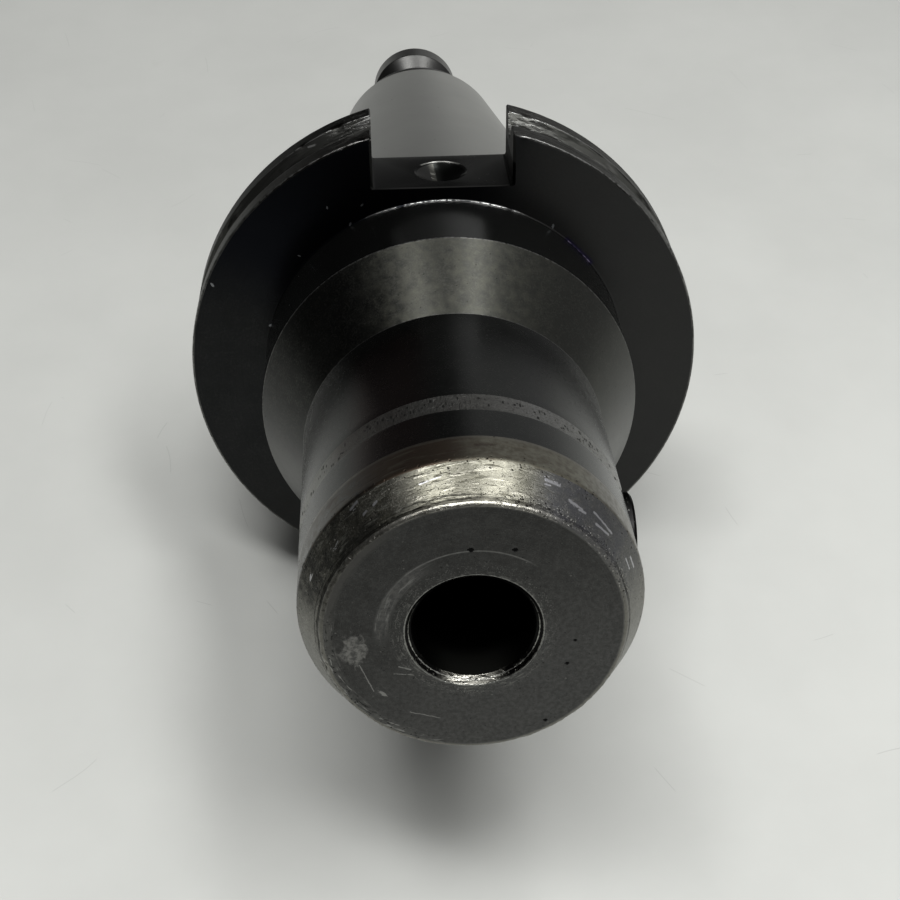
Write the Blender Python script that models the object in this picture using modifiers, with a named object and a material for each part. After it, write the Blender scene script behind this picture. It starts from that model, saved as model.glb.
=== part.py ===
"""Side-lock tool holder: steep taper shank, grooved drive flange, plain bore, lock screw and pull stud.

The holder lies on a flat surface the way it comes to rest: on the two edges of its lower drive slot
and on the head of the pull stud, with the nose raised. World +Z is up, +Y runs from the nose to the
stud and +X is the side of the lock screw. The origin is at the bottom centre of the whole holder.
Every size is in metres.
"""
import math

import bpy

# Taper shank, 7 in 24 on the diameter
GAUGE_DIAMETER = 0.06985
TAPER_PER_LENGTH = 7 / 24
SHANK_LENGTH = 0.1016
SHANK_END_CHAMFER = 0.0013

# Drive flange
FLANGE_DIAMETER = 0.098425
FLANGE_THICKNESS = 0.015875
FLANGE_TO_GAUGE = 0.003175
FLANGE_EDGE_BREAK = 0.0005
GROOVE_DEPTH = 0.0036
GROOVE_FLOOR_WIDTH = 0.0032
GROOVE_ANGLE = math.radians(60)
RELIEF_DEPTH = 0.0008
RELIEF_WIDTH = 0.0018

# Drive slots, measured from the holder's axis to the slot floor
SLOT_WIDTH = 0.0257
UPPER_SLOT_FLOOR = 0.0375
LOWER_SLOT_FLOOR = 0.0353
DIMPLE_DIAMETER = 0.0100
DRILL_POINT_ANGLE = math.radians(118)

# Neck, cone and nose in front of the flange
PROJECTION = 0.08255
NECK_DIAMETER = 0.06985
NECK_LENGTH = 0.0164
NECK_FILLET = 0.0008
CONE_ANGLE = math.radians(30)
NOSE_DIAMETER = 0.053975
NOSE_CHAMFER_ANGLE = math.radians(30)
NOSE_CHAMFER_SOFTENING = 0.0010
FACE_DIAMETER = 0.04648
FACE_EDGE_RADIUS = 0.0012
BAND_FROM_FACE = 0.0206
BAND_WIDTH = 0.0041
BAND_DEPTH = 0.00012

# Bore for the cutting tool and the passage behind it
BORE_DIAMETER = 0.01905
BORE_DEPTH = 0.0524
BORE_CHAMFER = 0.0011
PASSAGE_DIAMETER = 0.0140

# Lock screw in the side of the nose
SCREW_DIAMETER = 0.015875
SCREW_LENGTH = 0.015875
SCREW_FROM_FACE = 0.0232
SCREW_STANDS_PROUD = 0.0004
SCREW_END_CHAMFER = 0.0005
SCREW_TIP_CHAMFER = 0.0012
SCREW_HOLE_CHAMFER = 0.0006
SOCKET_ACROSS_FLATS = 0.0079375
SOCKET_DEPTH = 0.0070

# Pull stud in the small end of the shank
STUD_REACH = 0.0450
STUD_HEAD_DIAMETER = 0.0230
STUD_HEAD_LENGTH = 0.0100
STUD_HEAD_CHAMFER = 0.0011
STUD_NECK_DIAMETER = 0.0170
STUD_NECK_LENGTH = 0.0100
STUD_BODY_DIAMETER = 0.0230
STUD_FLANGE_DIAMETER = 0.0360
STUD_FLANGE_THICKNESS = 0.0080
STUD_FLANGE_FLATS = 0.0300
STUD_FLANGE_CHAMFER = 0.0010
STUD_PILOT_DIAMETER = 0.0262
STUD_PILOT_LENGTH = 0.0120
STUD_THREAD_DIAMETER = 0.0254
STUD_THREAD_LENGTH = 0.0280
STUD_TIP_CHAMFER = 0.0020

# Gap between pieces that touch or screw together, and spare reach of every cutter
SEAT_GAP = 0.0003
SOCKET_SPARE = 0.0030
CUTTER_SPARE = 0.0040

# Facets round each turned piece
HOLDER_FACETS = 72
STUD_FACETS = 48
SCREW_FACETS = 36
MERGE_DISTANCE = 0.00001

# Stations along the axis, from the nose face at 0 to the head of the stud
FLANGE_FRONT = PROJECTION
FLANGE_REAR = FLANGE_FRONT + FLANGE_THICKNESS
GAUGE_LINE = FLANGE_REAR + FLANGE_TO_GAUGE
SHANK_END = GAUGE_LINE + SHANK_LENGTH
STUD_SEAT = SHANK_END + SEAT_GAP
STUD_END = SHANK_END + STUD_REACH

FLANGE_RADIUS = FLANGE_DIAMETER / 2
NOSE_RADIUS = NOSE_DIAMETER / 2
STUD_HEAD_RADIUS = STUD_HEAD_DIAMETER / 2
SCREW_HOLE_RADIUS = SCREW_DIAMETER / 2 + SEAT_GAP


def rounded(before, corner, after, radius, steps):
    """Points of a tangent arc that replaces one corner of a profile."""
    to_before = (before[0] - corner[0], before[1] - corner[1])
    to_after = (after[0] - corner[0], after[1] - corner[1])
    angle_before = math.atan2(to_before[1], to_before[0])
    angle_after = math.atan2(to_after[1], to_after[0])
    opening = (angle_after - angle_before + math.pi) % math.tau - math.pi
    distance = radius / math.sin(abs(opening) / 2)
    middle = angle_before + opening / 2
    centre = (corner[0] + distance * math.cos(middle), corner[1] + distance * math.sin(middle))
    turn = math.copysign(math.pi - abs(opening), opening)
    start = middle + math.pi + turn / 2
    return [(centre[0] + radius * math.cos(start - turn * step / steps),
             centre[1] + radius * math.sin(start - turn * step / steps))
            for step in range(steps + 1)]


def shank_profile():
    """Small end of the taper to the ring-shaped relief in the flange's rear face, as radius and station."""
    gauge_radius = GAUGE_DIAMETER / 2
    chamfer_start = SHANK_LENGTH - SHANK_END_CHAMFER
    radius_at_chamfer = gauge_radius - chamfer_start * TAPER_PER_LENGTH / 2
    relief_floor = FLANGE_REAR - RELIEF_DEPTH
    relief_radius = gauge_radius + RELIEF_WIDTH
    return [(radius_at_chamfer - SHANK_END_CHAMFER, SHANK_END),
            (radius_at_chamfer, SHANK_END - SHANK_END_CHAMFER),
            (gauge_radius, GAUGE_LINE),
            (gauge_radius, relief_floor),
            (relief_radius - RELIEF_DEPTH, relief_floor),
            (relief_radius, FLANGE_REAR)]


def flange_profile():
    """Rim of the flange with its gripping groove, rear to front."""
    floor_radius = FLANGE_RADIUS - GROOVE_DEPTH
    half_floor = GROOVE_FLOOR_WIDTH / 2
    half_mouth = half_floor + GROOVE_DEPTH * math.tan(GROOVE_ANGLE / 2)
    middle = (FLANGE_FRONT + FLANGE_REAR) / 2
    return [(FLANGE_RADIUS - FLANGE_EDGE_BREAK, FLANGE_REAR),
            (FLANGE_RADIUS, FLANGE_REAR - FLANGE_EDGE_BREAK),
            (FLANGE_RADIUS, middle + half_mouth),
            (floor_radius, middle + half_floor),
            (floor_radius, middle - half_floor),
            (FLANGE_RADIUS, middle - half_mouth),
            (FLANGE_RADIUS, FLANGE_FRONT + FLANGE_EDGE_BREAK),
            (FLANGE_RADIUS - FLANGE_EDGE_BREAK, FLANGE_FRONT)]


def nose_profile():
    """Neck, cone, nose with its shallow band, and the soft chamfer down to the front face."""
    neck_radius = NECK_DIAMETER / 2
    neck_front = FLANGE_FRONT - NECK_LENGTH
    cone_front = neck_front - (neck_radius - NOSE_RADIUS) / math.tan(CONE_ANGLE)
    band_radius = NOSE_RADIUS - BAND_DEPTH
    band_back = BAND_FROM_FACE + BAND_WIDTH
    face_radius = FACE_DIAMETER / 2
    face_corner = (face_radius, 0.0)
    chamfer_back = (NOSE_RADIUS, (NOSE_RADIUS - face_radius) / math.tan(NOSE_CHAMFER_ANGLE))
    bore_mouth = (BORE_DIAMETER / 2 + BORE_CHAMFER, 0.0)
    flange_foot = (neck_radius, FLANGE_FRONT)
    profile = rounded((FLANGE_RADIUS, FLANGE_FRONT), flange_foot, (neck_radius, neck_front), NECK_FILLET, 3)
    profile += [(neck_radius, neck_front), (NOSE_RADIUS, cone_front)]
    profile += [(NOSE_RADIUS, band_back + BAND_DEPTH), (band_radius, band_back)]
    profile += [(band_radius, BAND_FROM_FACE), (NOSE_RADIUS, BAND_FROM_FACE - BAND_DEPTH)]
    profile += rounded((NOSE_RADIUS, BAND_FROM_FACE), chamfer_back, face_corner, NOSE_CHAMFER_SOFTENING, 3)
    profile += rounded(chamfer_back, face_corner, bore_mouth, FACE_EDGE_RADIUS, 4)
    return profile + [bore_mouth]


def bore_profile():
    """Inside of the holder, from the mouth of the bore back to the socket of the pull stud."""
    bore_radius = BORE_DIAMETER / 2
    passage_radius = PASSAGE_DIAMETER / 2
    thread_radius = STUD_THREAD_DIAMETER / 2 + SEAT_GAP
    pilot_radius = STUD_PILOT_DIAMETER / 2 + SEAT_GAP
    drill_slope = math.tan(DRILL_POINT_ANGLE / 2)
    pilot_bottom = SHANK_END - STUD_PILOT_LENGTH - SEAT_GAP
    thread_bottom = SHANK_END - STUD_PILOT_LENGTH - STUD_THREAD_LENGTH - SOCKET_SPARE
    return [(bore_radius, BORE_CHAMFER),
            (bore_radius, BORE_DEPTH),
            (passage_radius, BORE_DEPTH + (bore_radius - passage_radius) / drill_slope),
            (passage_radius, thread_bottom - (thread_radius - passage_radius) / drill_slope),
            (thread_radius, thread_bottom),
            (thread_radius, pilot_bottom),
            (pilot_radius, pilot_bottom),
            (pilot_radius, SHANK_END)]


def stud_profile():
    """Pull stud from the top of its head to the tip of its thread."""
    neck_radius = STUD_NECK_DIAMETER / 2
    body_radius = STUD_BODY_DIAMETER / 2
    flange_radius = STUD_FLANGE_DIAMETER / 2
    thread_radius = STUD_THREAD_DIAMETER / 2
    head_base = STUD_END - STUD_HEAD_LENGTH
    neck_base = head_base - STUD_NECK_LENGTH
    flange_top = STUD_SEAT + STUD_FLANGE_THICKNESS
    pilot_end = STUD_SEAT - STUD_PILOT_LENGTH
    thread_end = pilot_end - STUD_THREAD_LENGTH
    return [(0.0, STUD_END),
            (STUD_HEAD_RADIUS - STUD_HEAD_CHAMFER, STUD_END),
            (STUD_HEAD_RADIUS, STUD_END - STUD_HEAD_CHAMFER),
            (STUD_HEAD_RADIUS, head_base + STUD_HEAD_RADIUS - neck_radius),
            (neck_radius, head_base),
            (neck_radius, neck_base + body_radius - neck_radius),
            (body_radius, neck_base),
            (body_radius, flange_top),
            (flange_radius - STUD_FLANGE_CHAMFER, flange_top),
            (flange_radius, flange_top - STUD_FLANGE_CHAMFER),
            (flange_radius, STUD_SEAT),
            (STUD_PILOT_DIAMETER / 2, STUD_SEAT),
            (STUD_PILOT_DIAMETER / 2, pilot_end),
            (thread_radius, pilot_end),
            (thread_radius, thread_end + STUD_TIP_CHAMFER),
            (thread_radius - STUD_TIP_CHAMFER, thread_end),
            (0.0, thread_end)]


def screw_profile():
    """Lock screw from its driven end down to its flat tip."""
    radius = SCREW_DIAMETER / 2
    return [(0.0, SCREW_LENGTH),
            (radius - SCREW_END_CHAMFER, SCREW_LENGTH),
            (radius, SCREW_LENGTH - SCREW_END_CHAMFER),
            (radius, SCREW_TIP_CHAMFER),
            (radius - SCREW_TIP_CHAMFER, 0.0),
            (0.0, 0.0)]


def resting_pose(holder_profile):
    """Tilt of the axis and the place of the nose face when the holder lies on its slot edges and stud."""
    slot_edge_radius = math.sqrt(FLANGE_RADIUS ** 2 - (SLOT_WIDTH / 2) ** 2)
    slot_edge_station = FLANGE_REAR - FLANGE_EDGE_BREAK
    head_station = STUD_END - STUD_HEAD_CHAMFER
    tilt = math.atan2(slot_edge_radius - STUD_HEAD_RADIUS, head_station - slot_edge_station)
    height = head_station * math.sin(tilt) + STUD_HEAD_RADIUS * math.cos(tilt)
    front = min(along * math.cos(tilt) - radius * math.sin(tilt) for radius, along in holder_profile)
    back = max(along * math.cos(tilt) + radius * math.sin(tilt) for radius, along in stud_profile())
    return tilt, (0.0, -(front + back) / 2, height)


def new_collection(name):
    collection = bpy.data.collections.new(name)
    bpy.context.scene.collection.children.link(collection)
    return collection


def steel(name, colour, roughness):
    material = bpy.data.materials.new(name)
    material.use_nodes = True
    shader = material.node_tree.nodes["Principled BSDF"]
    shader.inputs["Base Color"].default_value = (*colour, 1.0)
    shader.inputs["Metallic"].default_value = 1.0
    shader.inputs["Roughness"].default_value = roughness
    return material


def turned_piece(name, profile, closed, facets, material, collection, parent):
    """A profile of radius and station, turned round the local Z axis."""
    mesh = bpy.data.meshes.new(name)
    edges = [(index, index + 1) for index in range(len(profile) - 1)]
    if closed:
        edges.append((len(profile) - 1, 0))
    mesh.from_pydata([(radius, 0.0, along) for radius, along in profile], edges, [])
    mesh.materials.append(material)
    piece = bpy.data.objects.new(name, mesh)
    piece.parent = parent
    collection.objects.link(piece)
    turning = piece.modifiers.new("turning", "SCREW")
    turning.steps = facets
    turning.render_steps = facets
    turning.use_merge_vertices = True
    turning.merge_threshold = MERGE_DISTANCE
    turning.use_smooth_shade = True
    return piece


def place_cutter(name, collection, parent, location, rotation=(0.0, 0.0, 0.0)):
    """Name the primitive that was just added and put it in the holder's own frame."""
    cutter = bpy.context.object
    cutter.name = name
    for owner in list(cutter.users_collection):
        owner.objects.unlink(cutter)
    collection.objects.link(cutter)
    cutter.parent = parent
    cutter.location = location
    cutter.rotation_euler = rotation
    cutter.hide_render = True
    cutter.display_type = "WIRE"
    return cutter


def box_cutter(name, size, centre, collection, parent):
    bpy.ops.mesh.primitive_cube_add(size=1.0)
    for vertex in bpy.context.object.data.vertices:
        vertex.co = [part * length for part, length in zip(vertex.co, size)]
    return place_cutter(name, collection, parent, centre)


def cone_cutter(name, base_radius, top_radius, depth, facets, centre, rotation, collection, parent):
    bpy.ops.mesh.primitive_cone_add(vertices=facets, radius1=base_radius, radius2=top_radius, depth=depth)
    return place_cutter(name, collection, parent, centre, rotation)


def cut(piece, cutter):
    boolean = piece.modifiers.new(cutter.name, "BOOLEAN")
    boolean.operation = "DIFFERENCE"
    boolean.solver = "EXACT"
    boolean.object = cutter


def cut_drive_slots(holder, cutters, axis):
    """Two open slots across the flange. The holder's local -Y is its upper side."""
    middle = (FLANGE_FRONT + FLANGE_REAR) / 2
    length = FLANGE_THICKNESS + CUTTER_SPARE
    for name, side, floor in (("upper_slot", -1, UPPER_SLOT_FLOOR), ("lower_slot", 1, LOWER_SLOT_FLOOR)):
        height = FLANGE_RADIUS + CUTTER_SPARE - floor
        centre = (0.0, side * (floor + height / 2), middle)
        cut(holder, box_cutter(name, (SLOT_WIDTH, height, length), centre, cutters, axis))


def cut_dimple(holder, cutters, axis):
    """Drilled dimple in the floor of the upper slot."""
    radius = DIMPLE_DIAMETER / 2 + CUTTER_SPARE
    depth = radius / math.tan(DRILL_POINT_ANGLE / 2)
    rise = CUTTER_SPARE / math.tan(DRILL_POINT_ANGLE / 2)
    centre = (0.0, -(UPPER_SLOT_FLOOR + rise - depth / 2), (FLANGE_FRONT + FLANGE_REAR) / 2)
    turn = (math.radians(90), 0.0, 0.0)
    cut(holder, cone_cutter("slot_dimple", 0.0, radius, depth, SCREW_FACETS, centre, turn, cutters, axis))


def cut_screw_hole(holder, cutters, axis):
    """Cross hole from the bore out through the side of the nose, with a broken edge at its mouth."""
    along_x = (0.0, math.radians(90), 0.0)
    reach = NOSE_RADIUS + CUTTER_SPARE
    hole_centre = (reach / 2, 0.0, SCREW_FROM_FACE)
    cut(holder, cone_cutter("screw_hole", SCREW_HOLE_RADIUS, SCREW_HOLE_RADIUS, reach, SCREW_FACETS,
                            hole_centre, along_x, cutters, axis))
    inner = NOSE_RADIUS - SCREW_HOLE_CHAMFER * 2
    outer = NOSE_RADIUS + SCREW_HOLE_CHAMFER * 3
    inner_radius = SCREW_HOLE_RADIUS - SCREW_HOLE_CHAMFER
    outer_radius = inner_radius + outer - inner
    mouth_centre = ((inner + outer) / 2, 0.0, SCREW_FROM_FACE)
    cut(holder, cone_cutter("screw_hole_mouth", inner_radius, outer_radius, outer - inner, SCREW_FACETS,
                            mouth_centre, along_x, cutters, axis))


def make_holder(profile, parts, cutters, axis):
    finish = steel("ground and blackened steel", (0.23, 0.23, 0.24), 0.36)
    holder = turned_piece("holder_body", profile, True, HOLDER_FACETS, finish, parts, axis)
    cut_drive_slots(holder, cutters, axis)
    cut_dimple(holder, cutters, axis)
    cut_screw_hole(holder, cutters, axis)
    return holder


def make_lock_screw(parts, cutters, axis):
    """Set screw with a hexagon socket. Its origin is on its own axis, at its tip."""
    finish = steel("black screw steel", (0.03, 0.03, 0.03), 0.42)
    screw = turned_piece("side_lock_screw", screw_profile(), False, SCREW_FACETS, finish, parts, axis)
    screw.location = (NOSE_RADIUS + SCREW_STANDS_PROUD - SCREW_LENGTH, 0.0, SCREW_FROM_FACE)
    screw.rotation_euler = (0.0, math.radians(90), 0.0)
    corner_radius = SOCKET_ACROSS_FLATS / 2 / math.cos(math.radians(30))
    depth = SOCKET_DEPTH + CUTTER_SPARE
    centre = (0.0, 0.0, SCREW_LENGTH - SOCKET_DEPTH + depth / 2)
    cut(screw, cone_cutter("hexagon_socket", corner_radius, corner_radius, depth, 6, centre,
                           (0.0, 0.0, 0.0), cutters, screw))
    return screw


def make_pull_stud(parts, cutters, axis):
    """Stud with a flange that has two flats for a wrench."""
    finish = steel("dark stud steel", (0.09, 0.09, 0.09), 0.38)
    stud = turned_piece("retention_knob", stud_profile(), False, STUD_FACETS, finish, parts, axis)
    side = STUD_FLANGE_DIAMETER
    thickness = STUD_FLANGE_THICKNESS + CUTTER_SPARE
    along = STUD_SEAT - CUTTER_SPARE / 2 + thickness / 2
    for name, direction in (("wrench_flat_left", -1), ("wrench_flat_right", 1)):
        centre = (direction * (STUD_FLANGE_FLATS + side) / 2, 0.0, along)
        cut(stud, box_cutter(name, (side, side, thickness), centre, cutters, axis))
    return stud


def main():
    for old in list(bpy.data.objects):
        bpy.data.objects.remove(old, do_unlink=True)
    parts = new_collection("side_lock_tool_holder")
    cutters = new_collection("cutters")

    holder_profile = shank_profile() + flange_profile() + nose_profile() + bore_profile()
    tilt, nose_face = resting_pose(holder_profile)

    # Local Z runs along the holder from the nose face to the stud, and local X stays level
    axis = bpy.data.objects.new("holder_axis", None)
    axis.location = nose_face
    axis.rotation_euler = (-math.radians(90) - tilt, 0.0, 0.0)
    parts.objects.link(axis)

    make_holder(holder_profile, parts, cutters, axis)
    make_lock_screw(parts, cutters, axis)
    make_pull_stud(parts, cutters, axis)


main()
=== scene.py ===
import math

import bmesh
import bpy
from mathutils import Euler, Matrix, Vector, noise


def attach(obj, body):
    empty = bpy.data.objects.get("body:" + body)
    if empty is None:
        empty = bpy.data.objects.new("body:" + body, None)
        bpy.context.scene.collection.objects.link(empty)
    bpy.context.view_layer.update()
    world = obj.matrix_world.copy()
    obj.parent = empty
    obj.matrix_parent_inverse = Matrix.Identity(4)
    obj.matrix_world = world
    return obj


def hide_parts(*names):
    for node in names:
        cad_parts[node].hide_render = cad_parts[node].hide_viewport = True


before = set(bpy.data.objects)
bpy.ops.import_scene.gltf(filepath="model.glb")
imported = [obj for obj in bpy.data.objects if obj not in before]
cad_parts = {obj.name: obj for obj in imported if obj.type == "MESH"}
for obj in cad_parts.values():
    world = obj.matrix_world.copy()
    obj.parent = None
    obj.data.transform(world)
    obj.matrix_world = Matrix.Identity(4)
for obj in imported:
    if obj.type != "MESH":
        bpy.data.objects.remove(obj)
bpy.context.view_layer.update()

print("packed model loaded:", ", ".join(sorted(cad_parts)))

# Shapes are drawn in millimetres in the holder's own frame: Z runs from the nose face to the stud,
# -Y is the upper side and +X the side of the lock screw. layDown puts them where the CAD lies.
lie = {"tilt": 13.56952, "noseFace": (0.0, -0.1192105, 0.0691548), "millimetre": 0.001}
lieTurn = (math.radians(-90 - lie["tilt"]), 0.0, 0.0)
layDown = (Matrix.Translation(lie["noseFace"]) @ Euler(lieTurn).to_matrix().to_4x4()
           @ Matrix.Scale(lie["millimetre"], 4))


# small helpers for node trees
def feed(tree, socket, value):
    if isinstance(value, bpy.types.NodeSocket):
        tree.links.new(value, socket)
    elif value is not None:
        socket.default_value = value


def add(tree, kind, *values, **settings):
    node = tree.nodes.new(kind)
    place = len(tree.nodes)
    node.location = (190 * (place // 7), -200 * (place % 7))
    for name, setting in settings.items():
        setattr(node, name, setting)
    for socket, value in zip(node.inputs, values):
        feed(tree, socket, value)
    return node


def calc(tree, operation, *values, clamp=False):
    return add(tree, "ShaderNodeMath", *values, operation=operation, use_clamp=clamp).outputs[0]


def times(tree, first, second):
    return calc(tree, "MULTIPLY", first, second)


def less(tree, first, second, clamp=False):
    return calc(tree, "SUBTRACT", first, second, clamp=clamp)


def vectorCalc(tree, operation, *values):
    node = add(tree, "ShaderNodeVectorMath", *values, operation=operation)
    return node.outputs["Value" if operation in ("LENGTH", "DISTANCE", "DOT_PRODUCT") else "Vector"]


def stretched(tree, vector, scale):
    node = add(tree, "ShaderNodeVectorMath", vector, operation="SCALE")
    feed(tree, node.inputs["Scale"], scale)
    return node.outputs["Vector"]


def sized(tree, vector, size):
    return stretched(tree, vector, calc(tree, "DIVIDE", 1.0, size))


def ramped(tree, value, low, high, toLow=0.0, toHigh=1.0, smooth=True):
    node = add(tree, "ShaderNodeMapRange", value, low, high, toLow, toHigh)
    node.interpolation_type = "SMOOTHSTEP" if smooth else "LINEAR"
    return node.outputs[0]


def mixed(tree, kind, factor, first, second):
    node = add(tree, "ShaderNodeMix", data_type="RGBA" if kind == "Color" else "FLOAT")
    sockets = {socket.identifier: socket for socket in [*node.inputs, *node.outputs]}
    for name, value in (("Factor_Float", factor), ("A_" + kind, first), ("B_" + kind, second)):
        feed(tree, sockets[name], (*value, 1.0) if isinstance(value, tuple) and len(value) == 3 else value)
    return sockets["Result_" + kind]


def noiseFac(tree, vector, scale, detail=2.0, rough=0.5, distortion=0.0):
    node = add(tree, "ShaderNodeTexNoise")
    for name, value in (("Vector", vector), ("Scale", scale), ("Detail", detail), ("Roughness", rough),
                        ("Distortion", distortion)):
        feed(tree, node.inputs[name], value)
    return node.outputs["Fac"]


def shaken(tree, vector, scale, amount):
    # the place with a little noise added
    shake = add(tree, "ShaderNodeTexNoise")
    feed(tree, shake.inputs["Vector"], vector)
    shake.inputs["Scale"].default_value = scale
    return vectorCalc(tree, "MULTIPLY_ADD", shake.outputs["Color"], (amount, amount, amount), vector)


def use(tree, group, **values):
    node = add(tree, "ShaderNodeGroup", node_tree=group)
    for name, value in values.items():
        feed(tree, node.inputs[name], value)
    return node.outputs[0]


# effects that several steels share
def mottleMask(tree, given):
    # cloudy change of tone, as oil and handling leave it
    cloud = noiseFac(tree, sized(tree, given["Place"], given["Size"]), 1.0, 4.0, 0.6)
    half = times(tree, given["Contrast"], 0.5)
    return ramped(tree, cloud, less(tree, 0.5, half), calc(tree, "ADD", 0.5, half), smooth=False)


def pitsMask(tree, given):
    # small sunk specks, each cell has one or none
    wavy = shaken(tree, given["Place"], 2.1, 0.35)
    cells = add(tree, "ShaderNodeTexVoronoi", sized(tree, wavy, given["Cell"]))
    cells.inputs["Scale"].default_value = 1.0
    parts = add(tree, "ShaderNodeSeparateColor", cells.outputs["Color"])
    chosen = calc(tree, "LESS_THAN", parts.outputs[0], given["Share"])
    reach = times(tree, given["Size"], ramped(tree, parts.outputs[1], 0.0, 1.0, 0.45, 1.0))
    inside = less(tree, 1.0, calc(tree, "DIVIDE", cells.outputs["Distance"], reach), clamp=True)
    return times(tree, chosen, ramped(tree, inside, 0.0, 0.5))


def grainMask(tree, given):
    # fine speckle of the bare surface, at two scales
    place = sized(tree, given["Place"], given["Size"])
    fine, coarse = noiseFac(tree, place, 1.0, 3.0, 0.75), noiseFac(tree, place, 0.22)
    return times(tree, ramped(tree, fine, 0.42, 0.68), ramped(tree, coarse, 0.3, 0.65, 0.25, 1.0))


def hairlinesMask(tree, given):
    # fine bent scratches, one in some of the cells that the place is divided into
    place = sized(tree, given["Place"], given["Size"])
    wander = noiseFac(tree, place, 0.5, 1.0, 0.4)
    sway = add(tree, "ShaderNodeCombineXYZ", wander, times(tree, wander, -0.8), 0.0).outputs[0]
    bent = vectorCalc(tree, "ADD", place, sway)
    cells = add(tree, "ShaderNodeTexVoronoi", voronoi_dimensions="2D", feature="F1")
    feed(tree, cells.inputs["Vector"], bent)
    cells.inputs["Scale"].default_value = 1.0
    local = vectorCalc(tree, "SUBTRACT", bent, cells.outputs["Position"])
    parts = add(tree, "ShaderNodeSeparateXYZ", local).outputs
    chance = add(tree, "ShaderNodeSeparateColor", cells.outputs["Color"]).outputs
    turn = times(tree, chance[0], math.tau)
    sine, cosine = calc(tree, "SINE", turn), calc(tree, "COSINE", turn)
    offside = less(tree, times(tree, parts[0], sine), times(tree, parts[1], cosine))
    onward = calc(tree, "ADD", times(tree, parts[0], cosine), times(tree, parts[1], sine))
    thin = ramped(tree, calc(tree, "ABSOLUTE", offside), 0.002, 0.008, 1.0, 0.0)
    past = less(tree, calc(tree, "ABSOLUTE", onward), times(tree, chance[1], 0.30))
    kept = calc(tree, "LESS_THAN", chance[2], given["Share"])
    return times(tree, times(tree, thin, ramped(tree, past, 0.0, 0.06, 1.0, 0.0)), kept)


def streaksMask(tree, given):
    # short rubbed lines that run round the turned shape
    place = add(tree, "ShaderNodeCombineXYZ", calc(tree, "DIVIDE", given["Angle"], given["Length"]),
                calc(tree, "DIVIDE", given["Along"], given["Width"]), 0.0).outputs[0]
    return ramped(tree, noiseFac(tree, place, 0.55, 3.0, 0.6, 0.4), 0.54, 0.66)


def linesMask(tree, given):
    # fine rings left by the lathe or the grinding wheel, uneven round the piece
    line = add(tree, "ShaderNodeTexNoise", noise_dimensions="1D")
    feed(tree, line.inputs["W"], calc(tree, "DIVIDE", given["Along"], given["Spacing"]))
    for name, value in (("Scale", 1.0), ("Detail", 3.0), ("Roughness", 0.7)):
        line.inputs[name].default_value = value
    uneven = ramped(tree, noiseFac(tree, given["Place"], 0.18), 0.3, 0.7, 0.55, 1.0)
    return times(tree, line.outputs["Fac"], uneven)


def edgeMask(tree, given):
    # bare metal where an edge is rubbed, and a painted highlight at the neck root, broken up along its length
    rag = ramped(tree, noiseFac(tree, given["Place"], 1.3, 4.0, 0.7), 0.3, 0.7, 0.15, 1.5)
    share = calc(tree, "DIVIDE", given["Distance"], times(tree, given["Width"], rag))
    return ramped(tree, less(tree, 1.0, share, clamp=True), 0.0, 0.6)


def scuffMask(tree, given):
    # a rubbed or smeared patch with ragged, streaky borders
    local = add(tree, "ShaderNodeMapping", vector_type="TEXTURE")
    sources = {"Vector": "Place", "Location": "Middle", "Rotation": "Turn", "Scale": "Reach"}
    for name, source in sources.items():
        feed(tree, local.inputs[name], given[source])
    streaks = noiseFac(tree, local.outputs[0], given["Grain"], 5.0, 0.68, 0.4)
    border = less(tree, 1.0, vectorCalc(tree, "LENGTH", local.outputs[0]))
    total = calc(tree, "ADD", times(tree, streaks, 1.6), border)
    return ramped(tree, less(tree, total, less(tree, 1.9, given["Cover"])), 0.0, 0.28)


def strokeMask(tree, given):
    # one straight line between two points: a scratch, and at the neck root a painted reflection
    moved = vectorCalc(tree, "SUBTRACT", shaken(tree, given["Place"], 1.6, 0.3), (0.15, 0.15, 0.15))
    offset = vectorCalc(tree, "SUBTRACT", moved, given["From"])
    run = vectorCalc(tree, "SUBTRACT", given["To"], given["From"])
    share = calc(tree, "DIVIDE", vectorCalc(tree, "DOT_PRODUCT", offset, run),
                 vectorCalc(tree, "DOT_PRODUCT", run, run), clamp=True)
    away = vectorCalc(tree, "DISTANCE", offset, stretched(tree, run, share))
    return ramped(tree, away, given["Width"], times(tree, given["Width"], 0.3))


def aroundMask(tree, given):
    # one side of the holder: 1 near a direction round its axis, 0 away from it
    flat = vectorCalc(tree, "NORMALIZE", vectorCalc(tree, "MULTIPLY", given["Place"], (1, 1, 0)))
    facing = times(tree, vectorCalc(tree, "DOT_PRODUCT", flat, given["Towards"]), 0.9999)
    return ramped(tree, calc(tree, "DEGREES", calc(tree, "ARCCOSINE", facing)), given["Gone"], given["Full"])


def makeEffect(name, draw, **inputs):
    tree = bpy.data.node_groups.new(name, "ShaderNodeTree")
    for label, default in inputs.items():
        kind = "NodeSocketVector" if isinstance(default, tuple) else "NodeSocketFloat"
        tree.interface.new_socket(label, in_out="INPUT", socket_type=kind).default_value = default
    tree.interface.new_socket("Mask", in_out="OUTPUT", socket_type="NodeSocketFloat")
    given, out = tree.nodes.new("NodeGroupInput").outputs, tree.nodes.new("NodeGroupOutput").inputs
    feed(tree, out["Mask"], draw(tree, given))
    return tree


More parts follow.
